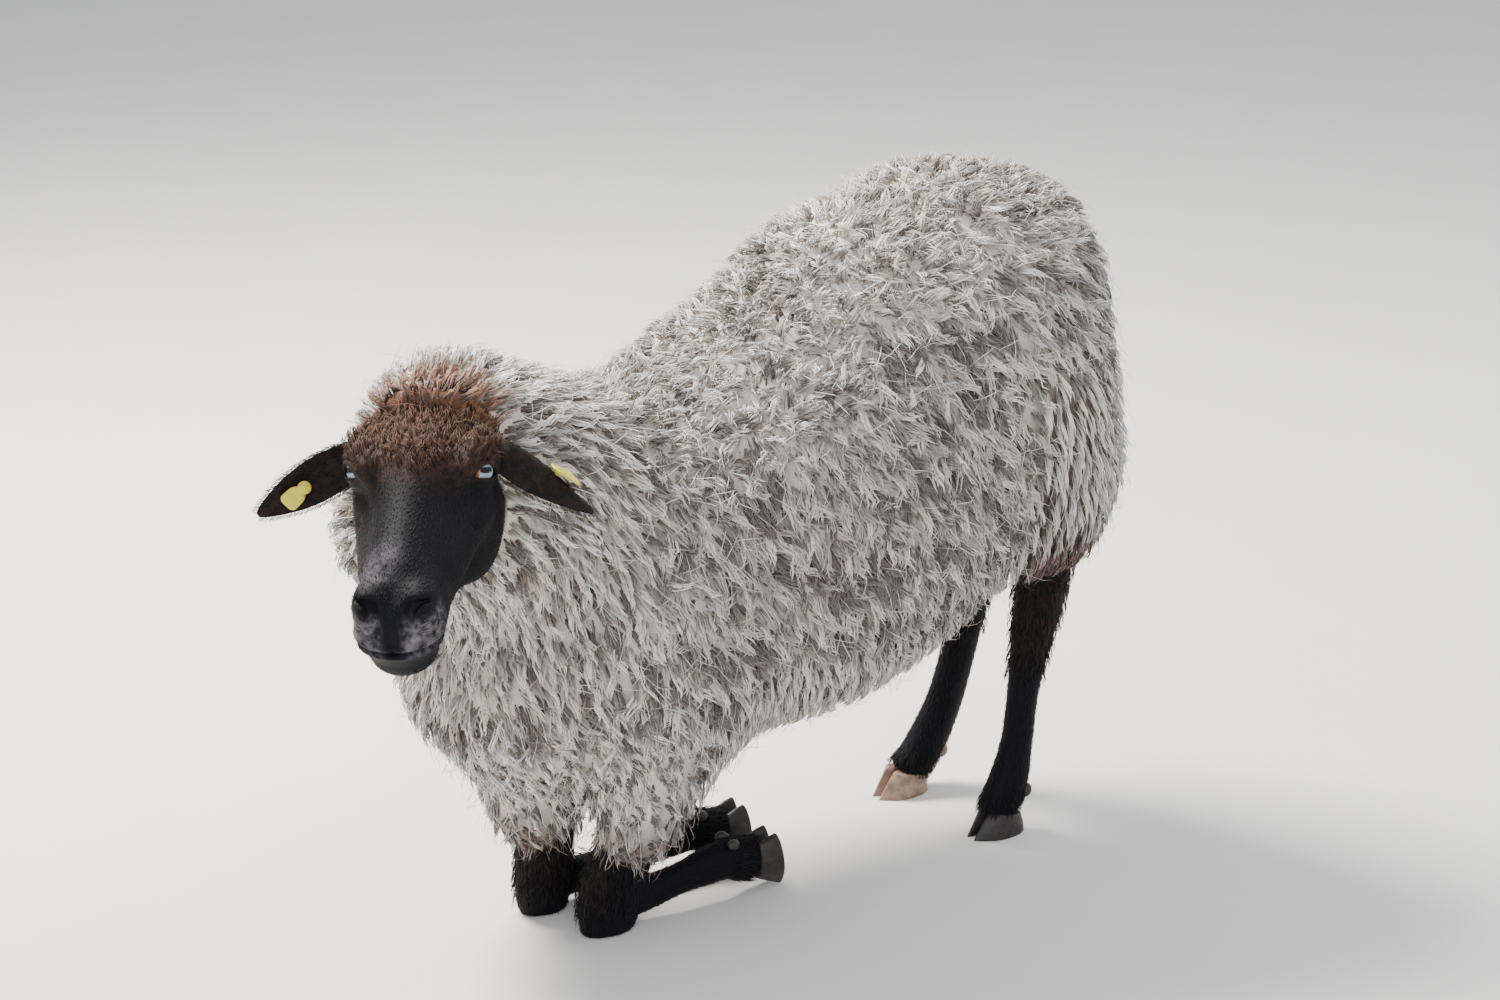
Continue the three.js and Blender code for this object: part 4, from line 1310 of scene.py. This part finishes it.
def group(name: str, outputs: dict[str, str], build: Callable[[Graph], dict]) -> bpy.types.NodeTree:
    """A node group with the given outputs, made once.

    Args:
        name: name of the group.
        outputs: socket types by output name.
        build: makes the nodes and returns a socket for each output.

    Returns:
        The node group.
    """
    tree = bpy.data.node_groups.get(name)
    if tree is None:
        tree = bpy.data.node_groups.new(name, "ShaderNodeTree")
        for key, kind in outputs.items():
            tree.interface.new_socket(name=key, in_out="OUTPUT", socket_type=kind)
        end = tree.nodes.new("NodeGroupOutput")
        for key, socket in build(Graph(tree)).items():
            tree.links.new(socket, end.inputs[key])
    return tree


def pelt_group(finish: PeltFinish) -> bpy.types.NodeTree:
    """Colour and roughness of wool and hair from the attributes Pelt and Accent."""

    def build(g: Graph) -> dict:
        pelt = g.add("Attribute", {"attribute_name": "Pelt"})
        dark, brown, along = g.add("SeparateColor", Color=pelt.outputs["Color"]).outputs[:3]
        chance = pelt.outputs["Alpha"]
        mark = g.add("Attribute", {"attribute_name": "Accent"})
        grey_and_sheen, rusty, pale = g.add("SeparateColor", Color=mark.outputs["Color"]).outputs[:3]
        deep = mark.outputs["Alpha"]
        high = g.add("SeparateXYZ", Vector=g.add("TexCoord").outputs["Object"]).outputs[2]
        patch = g.ramp(g.noise(5, 3), 0.35, 0.65)
        fine = g.noise(130, 3)
        odd = g.plus(fine, chance)
        # painted shade: each strand darkens towards its root, where the strands shade one another
        out = g.ramp(along, 0.02, 0.5)
        # wool: cream, darker towards the roots, greyer low down and in patches, dark between cords; all but
        # the patches is painted shade
        # painted shade: greyer from 0.8 m down to 0.42 m high, broken by the wool's own patches
        grey = g.times(g.ramp(high, 0.8, 0.42, 0.12, 0.95), g.scaled(patch, 0.5, 0.5))
        tip = g.mix(finish.wool[1], finish.shade, grey)
        # painted shade: strands at a clump's edge, and the skin under cords, turn to the gap colour
        wool = g.mix(g.mix(finish.wool[0], tip, out), finish.gap, g.times(deep, 0.88))
        # brown wool, darker towards the roots with the same painted shade, its edge broken strand by strand
        crown = g.mix(finish.brown[0], finish.brown[1], out)
        edge = g.scaled(g.math("SUBTRACT", chance, 0.5), 0.5, brown)
        coat = g.mix(wool, crown, g.ramp(edge, 0.05, 0.9))
        # dark hair with its accents
        hair = g.mix(finish.dark[0], finish.dark[1], g.times(fine, chance))
        hair = g.mix(hair, finish.rust, g.times(rusty, g.ramp(odd, 0.6, 1.3)))
        # grey: grey hairs round the lips, and a painted sheen on the nose's bridge
        hair = g.mix(hair, finish.grey, g.times(grey_and_sheen, g.ramp(odd, 0.7, 1.25)))
        hair = g.mix(hair, finish.pale, g.times(pale, 0.75))
        tint = g.scaled(chance, 0.22, g.scaled(fine, 0.16, 0.80))
        bright = g.add("HueSaturation", Color=g.mix(coat, hair, dark), Value=tint).outputs[0]
        return {"Colour": bright, "Roughness": g.scaled(dark, -0.3, 0.92)}

    return group("pelt", {"Colour": "NodeSocketColor", "Roughness": "NodeSocketFloat"}, build)


def fibre_group() -> bpy.types.NodeTree:
    """Height of the fibres that run along a strand."""

    def build(g: Graph) -> dict:
        place = g.add("SeparateXYZ", Vector=g.add("UVMap", {"uv_map": "Strand"}).outputs[0])
        stretched = g.add("CombineXYZ", _0=g.times(place.outputs[0], 26), _1=g.times(place.outputs[1], 3))
        return {"Height": g.noise(1, 2, stretched.outputs[0])}

    return group("fibres", {"Height": "NodeSocketFloat"}, build)


def lumps_group() -> bpy.types.NodeTree:
    """Height of short hair or matted wool on the skin: fine grain with wider lumps, lower on dark hair."""

    def build(g: Graph) -> dict:
        pelt = g.add("Attribute", {"attribute_name": "Pelt"})
        dark = g.add("SeparateColor", Color=pelt.outputs["Color"]).outputs[0]
        both = g.scaled(g.noise(520, 2), 0.5, g.times(g.noise(170, 2), 0.6))
        return {"Height": g.times(both, g.scaled(dark, -0.8, 1))}

    return group("lumps", {"Height": "NodeSocketFloat"}, build)


def new_material(name: str, roughness: float) -> tuple[bpy.types.Material, Graph, bpy.types.Node]:
    """A material, its graph and its Principled node."""
    material = bpy.data.materials.new(name)
    material.use_nodes = True
    shader = material.node_tree.nodes["Principled BSDF"]
    shader.inputs["Roughness"].default_value = roughness
    return material, Graph(material.node_tree), shader


def pelt_material(name: str, finish: PeltFinish, relief: bpy.types.NodeTree, depth: float, sheen: float,
                  shine: float) -> bpy.types.Material:
    """Wool and hair: the pelt's colours over a relief.

    Args:
        name: name of the material.
        finish: its colours.
        relief: group that gives the height.
        depth: how high the relief is, metres.
        sheen: weight of the soft sheen.
        shine: level of the plain reflection.

    Returns:
        The material.
    """
    material, g, shader = new_material(name, 0.9)
    coat = g.add("Group", {"node_tree": pelt_group(finish)})
    g.put(shader.inputs["Base Color"], coat.outputs["Colour"])
    g.put(shader.inputs["Roughness"], coat.outputs["Roughness"])
    height = g.add("Group", {"node_tree": relief}).outputs[0]
    bump = g.add("Bump", Strength=0.7, Distance=depth, Height=height)
    g.put(shader.inputs["Normal"], bump.outputs[0])
    shader.inputs["Sheen Weight"].default_value = sheen
    shader.inputs["Sheen Roughness"].default_value = 0.45
    shader.inputs["Specular IOR Level"].default_value = shine
    return material


def hard_material(name: str, finish: HardFinish) -> bpy.types.Material:
    """Horn and plastic."""
    material, g, shader = new_material(name, finish.roughness)
    spots = g.noise(finish.scale, 4)
    g.put(shader.inputs["Base Color"], g.mix(finish.colour, finish.other, g.ramp(spots, 0.35, 0.7)))
    bump = g.add("Bump", Strength=0.5, Distance=finish.bump, Height=spots)
    g.put(shader.inputs["Normal"], bump.outputs[0])
    return material


def eye_material(finish: EyeFinish) -> bpy.types.Material:
    """An iris, pale blue with a painted reflection of the sky, round a bar of a pupil, dark at its rim,
    orange at the inner corner, under a wet skin.
    """
    material, g, shader = new_material("eyeball", 0.12)
    place = g.add("SeparateXYZ", Vector=g.add("UVMap", {"uv_map": "Gaze"}).outputs[0])
    x, y = (g.times(g.math("SUBTRACT", value, 0.5), GAZE) for value in place.outputs[:2])
    far = g.math("SQRT", g.plus(g.times(x, x), g.times(y, y)))
    grain = g.plus(g.math("DIVIDE", far, 14), g.times(g.noise(900, 3), 0.5))
    # painted reflection: the iris's pale blue stands for the sky reflected in it
    iris = g.mix(finish.iris[0], finish.iris[1], g.ramp(grain, 0.35, 0.95))
    u = g.math("ABSOLUTE", g.math("DIVIDE", x, finish.bar[0]))
    v = g.math("ABSOLUTE", g.math("DIVIDE", g.math("SUBTRACT", y, finish.lift), finish.bar[1]))
    bar = g.plus(g.math("POWER", u, 3), g.math("POWER", v, 2.4))
    colour = g.mix(finish.pupil, iris, g.ramp(bar, 0.85, 1.2))
    colour = g.mix(colour, finish.rim, g.ramp(far, 10.2, 11.6))
    colour = g.mix(colour, finish.corner, g.ramp(x, -5.6, -7.2))
    g.put(shader.inputs["Base Color"], colour)
    shader.inputs["Specular IOR Level"].default_value = 0.2
    shader.inputs["Coat Weight"].default_value = 0.1
    shader.inputs["Coat Roughness"].default_value = 0.05
    return material


FLESH = ("trunk", "neck", "thigh", "forearm", "tail", "head", "lower", "cannon", "foot", "hock", "knee")


@dataclass
class Sheep:
    """The animal: its skin, its coat and everything that sits on it."""

    seed: int = SEED
    cell: float = 7.0  # grid step of the body's skin
    head_cell: float = 2.3
    leg_hair: float = 1.5  # depth of the coat on the legs
    along: float = 0.2  # the skin's colour is that of hair at this share of its length, so it carries the painted shade of the roots
    chance: float = 0.45

    def skin_mesh(self) -> bpy.types.Mesh:
        """Body, head, ears and legs in one closed skin."""
        body = Shell(*net(core_distance, *BODY_BOX, self.cell))
        points, faces = net(HEAD, *HEAD_BOX, self.head_cell)
        shells = [body, Shell(HEAD_PLACE.out(points), faces), *(ear.shell() for ear in EARS.values())]
        shells += [limb(stations, self.leg_hair) for foot in FEET.values() for stations in foot.spans]
        return union("skin", shells)

    def build_skin(self, finish: bpy.types.Material) -> None:
        """The one skin that stands for every solid of flesh."""
        mesh = self.skin_mesh()
        mesh.calc_loop_triangles()
        p = fetched(mesh.vertices, "co") / MM + MIDDLE
        self.points, self.normals = p, fetched(mesh.vertex_normals, "vector")
        self.tris = fetched(mesh.loop_triangles, "vertices", np.int32)
        self.mid = p[self.tris].mean(1)
        self.off_wool = core_distance(self.mid)
        self.off_head = head_distance(self.mid)
        same = np.ones(len(p))
        add_colour(mesh, "Pelt", np.column_stack([markings(p), self.along * same, self.chance * same]))
        # the skin's fourth number sets the painted shade under the cords
        add_colour(mesh, "Accent", np.column_stack([accents(p), 0 * same, corded(p)]))
        flesh = [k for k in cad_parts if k.split("_")[0] in FLESH or k in ("ear_left", "ear_right")]
        finished("skin", mesh, finish, "dark_hair", sorted(flesh))

    def grow_wool(self, finish: bpy.types.Material) -> None:
        """The wool of the body, in pieces by region, with single fibres among it."""
        rng = np.random.default_rng(self.seed)
        tris = self.tris[(np.abs(self.off_wool) < 3) & (self.off_head > 4)]
        at = scatter(self.points, tris, Wool.TOP.value.spacing, rng)
        kinds = wool_kind(at, slope(core_distance, at, 2.0), rng)
        batches = [(kind.value, at[kinds == number]) for number, kind in enumerate(Wool)]
        wisp = Hair.WISP.value
        batches.append((wisp, scatter(self.points, tris, wisp.spacing, rng)))
        coats: dict[str, Coat] = {}
        for kind, here in batches:
            n = slope(core_distance, here, 2.0)
            inward = clump_offsets(here, kind.clump, kind.tall)
            roots = Roots(here, n, laid(n, wool_pull(here)), inward)
            region = wool_region(here)
            for i, part in enumerate(WOOL_PARTS):
                if (region == i).any():
                    coat = coats.setdefault(part, Coat("wool_" + part, "fleece", body_map))
                    coat.add(grow(roots.where(region == i), kind, fleece_distance, rng))
        for coat in coats.values():
            coat.build(finish)

    def cover(self, coat: Coat, mask: Array, hair: Hair, pull: Field, rng: np.random.Generator) -> None:
        """Grows hair on some of the skin's triangles.

        Args:
            coat: the piece that takes in the strands.
            mask: triangles to cover.
            hair: the kind of hair.
            pull: the way hair points at given places.
            rng: source of chance.
        """
        kind, tris = hair.value, self.tris[mask]
        at = scatter(self.points, tris, kind.spacing, rng)
        normals = self.normals[tris].mean(1).astype(float)
        n = unit(normals[nearest(at, self.mid[mask], 400)])
        roots = Roots(at, n, laid(n, pull(at)), clump_offsets(at, kind.clump, kind.tall))
        coat.add(grow(roots, kind, None, rng))

    def grow_head(self, finish: bpy.types.Material) -> None:
        """Brown wool on the crown, short hair on the face and ears, a pale fringe round the ears."""
        rng = np.random.default_rng(self.seed + 1)
        back = HEAD_PLACE.turn.T
        q = HEAD_PLACE.into(self.mid)
        on_head = (np.abs(self.off_head) < 2.5) & (self.off_wool > -2)
        crown = crown_mask(q)
        coat = Coat("hair_head", "dark_hair", head_map)
        self.cover(coat, on_head & (crown > 0.4), Hair.CROWN, one_way(np.array([0, 0.8, 0.25]) @ back), rng)
        eye = np.linalg.norm(np.abs(q) * [1, 0, 0] + q * [0, 1, 1] - EYE_SEAT.at, axis=1)
        face = on_head & (crown < 0.55) & (eye > EYE_CLEAR) & (q[:, 1] > MUZZLE)
        self.cover(coat, face, Hair.FACE, face_pull, rng)
        near = (np.linalg.norm(self.mid - HEAD_PLACE.at, axis=1) < 260) & (self.mid[:, 2] > 450)
        away = near & (np.abs(self.off_head) > 3) & (self.off_wool > 1)
        for ear in EARS.values():
            local = (q - ear.root) @ ear.axes.T
            mine = away & (q[:, 0] * ear.side > 30) & (local[:, 2] > 8)
            along = np.array(ear.along) @ back
            self.cover(coat, mine, Hair.EAR, one_way(along), rng)
            t = np.linspace(0.12, 1.0, RIM_HAIRS)
            for u in (-1.0, 1.0):
                rim, inner = (ear.leaf(np.full(RIM_HAIRS, share * u), t) for share in (1.0, 0.8))
                n = unit(rim - inner)
                fringe = grow(Roots(rim, n, laid(n, along), np.zeros_like(rim)), Hair.RIM.value, None, rng)
                fringe.pale = rng.uniform(0.0, 0.5, RIM_HAIRS)
                coat.add(fringe)
        coat.build(finish)

    def grow_legs(self, finish: bpy.types.Material) -> None:
        """Short hair on the legs, longer over the claws, with a fringe on the knees and under the thighs."""
        rng = np.random.default_rng(self.seed + 2)
        _, y, z = self.mid.T
        low = (self.off_wool > 2) & (z < 420) & (z > 4)
        rear = y > REAR
        knees = (self.normals[self.tris].mean(1)[:, 1] < 0.1) & (y < KNEES) & (z > 32)
        for name, part, fringed, over in (("hair_hind", low & rear, z > 215, z < 58),
                                          ("hair_fore", low & ~rear, knees, y > -20)):
            coat = Coat(name, "dark_hair", leg_map)
            self.cover(coat, part, Hair.LEG, leg_pull, rng)
            self.cover(coat, part & fringed, Hair.FRINGE, leg_pull, rng)
            self.cover(coat, part & over, Hair.FETLOCK, leg_pull, rng)
            coat.build(finish)

    def build_eyes(self, finish: bpy.types.Material) -> None:
        """Both eyes."""
        for side, name in ((1, "eye_left"), (-1, "eye_right")):
            shell, gaze = eye_ball(side)
            mesh = make_mesh(name, shell)
            add_map(mesh, "Gaze", gaze)
            finished(name + "_ball", mesh, finish, "eye", [name])

    def build_tags(self, finish: bpy.types.Material) -> None:
        """The tags in both ears."""
        for hand, ear in EARS.items():
            for part, shell in EarTag(ear).halves().items():
                name = f"ear_tag_{part}_{hand}"
                finished(name + "_piece", make_mesh(name, shell), finish, "tag", [name])

    def build_claws(self, dark: bpy.types.Material, light: bpy.types.Material) -> None:
        """Claws and dewclaws of each foot."""
        for name, foot in FEET.items():
            shell = merged([make(foot, side) for make in (claw, dewclaw) for side in (1, -1)])
            nodes = [f"{kind}_{name}_{which}" for kind in ("claw", "dewclaw") for which in "ab"]
            finish = light if name == "hind_right" else dark
            finished("claws_" + name, make_mesh(name, shell), finish, "horn", nodes)


@dataclass(frozen=True)
class Lamp:
    """A square area light aimed at the animal."""

    name: str
    at: tuple[float, float, float]
    size: float
    power: float
    colour: Colour = (1, 1, 1)


@dataclass(frozen=True)
class Studio:
    """Floor, lights and camera."""

    lamps: tuple[Lamp, ...] = (Lamp("key", (-2.0, -0.7, 3.3), 1.4, 500, (1, 0.97, 0.92)),
                               Lamp("fill", (3.2, -2.6, 2.4), 3.0, 90, (0.93, 0.96, 1)),
                               Lamp("rim", (0.4, 3.2, 2.6), 2.0, 60))
    place: tuple[float, float, float] = (2.5132, -1.5602, 1.53)
    view: tuple[float, float, float] = (-0.7968, 0.509, -0.3256)
    lens: float = 66
    sensor: float = 36
    sky: Colour = (0.93, 0.95, 1)
    sky_power: float = 0.9

    def build(self) -> None:
        """Puts everything into the scene."""
        mesh = bpy.data.meshes.new("floor")
        mesh.from_pydata([(-9, -9, 0), (9, -9, 0), (9, 9, 0), (-9, 9, 0)], [], [(0, 1, 2, 3)])
        mesh.materials.append(hard_material("floor", FLOOR))
        make_object("floor", mesh)
        scene = bpy.context.scene
        for lamp in self.lamps:
            light = bpy.data.lights.new(lamp.name, "AREA")
            light.size, light.energy, light.color = lamp.size, lamp.power, lamp.colour
            self.aim(bpy.data.objects.new(lamp.name, light), lamp.at, Vector((0, 0, 0.4)) - Vector(lamp.at))
        camera = bpy.data.cameras.new("camera")
        camera.lens, camera.sensor_width = self.lens, self.sensor
        scene.camera = self.aim(bpy.data.objects.new("camera", camera), self.place, Vector(self.view))
        world = bpy.data.worlds.new("studio")
        world.use_nodes = True
        background = world.node_tree.nodes["Background"]
        background.inputs["Color"].default_value = (*self.sky, 1)
        background.inputs["Strength"].default_value = self.sky_power
        scene.world = world

    @staticmethod
    def aim(ob: bpy.types.Object, at: tuple[float, float, float], way: Vector) -> bpy.types.Object:
        """Places an object and points it along a direction."""
        ob.location = at
        ob.rotation_euler = way.to_track_quat("-Z", "Y").to_euler()
        bpy.context.scene.collection.objects.link(ob)
        return ob


def main() -> None:
    """Builds the animal and its studio."""
    logging.basicConfig(level=logging.INFO, format="%(message)s")
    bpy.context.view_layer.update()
    tones = PeltFinish()
    skin = pelt_material("skin", tones, lumps_group(), 0.004, 0.0, 0.1)
    wool = pelt_material("wool", tones, fibre_group(), 0.0006, 0.35, 0.3)
    hair = pelt_material("hair", tones, fibre_group(), 0.0004, 0.02, 0.16)
    sheep = Sheep()
    sheep.build_skin(skin)
    sheep.grow_wool(wool)
    sheep.grow_head(hair)
    sheep.grow_legs(hair)
    sheep.build_eyes(eye_material(EyeFinish()))
    sheep.build_tags(hard_material("tag", TAG))
    sheep.build_claws(hard_material("claw", CLAW), hard_material("pale_claw", PALE_CLAW))
    Studio().build()


if __name__ == "__main__":
    main()
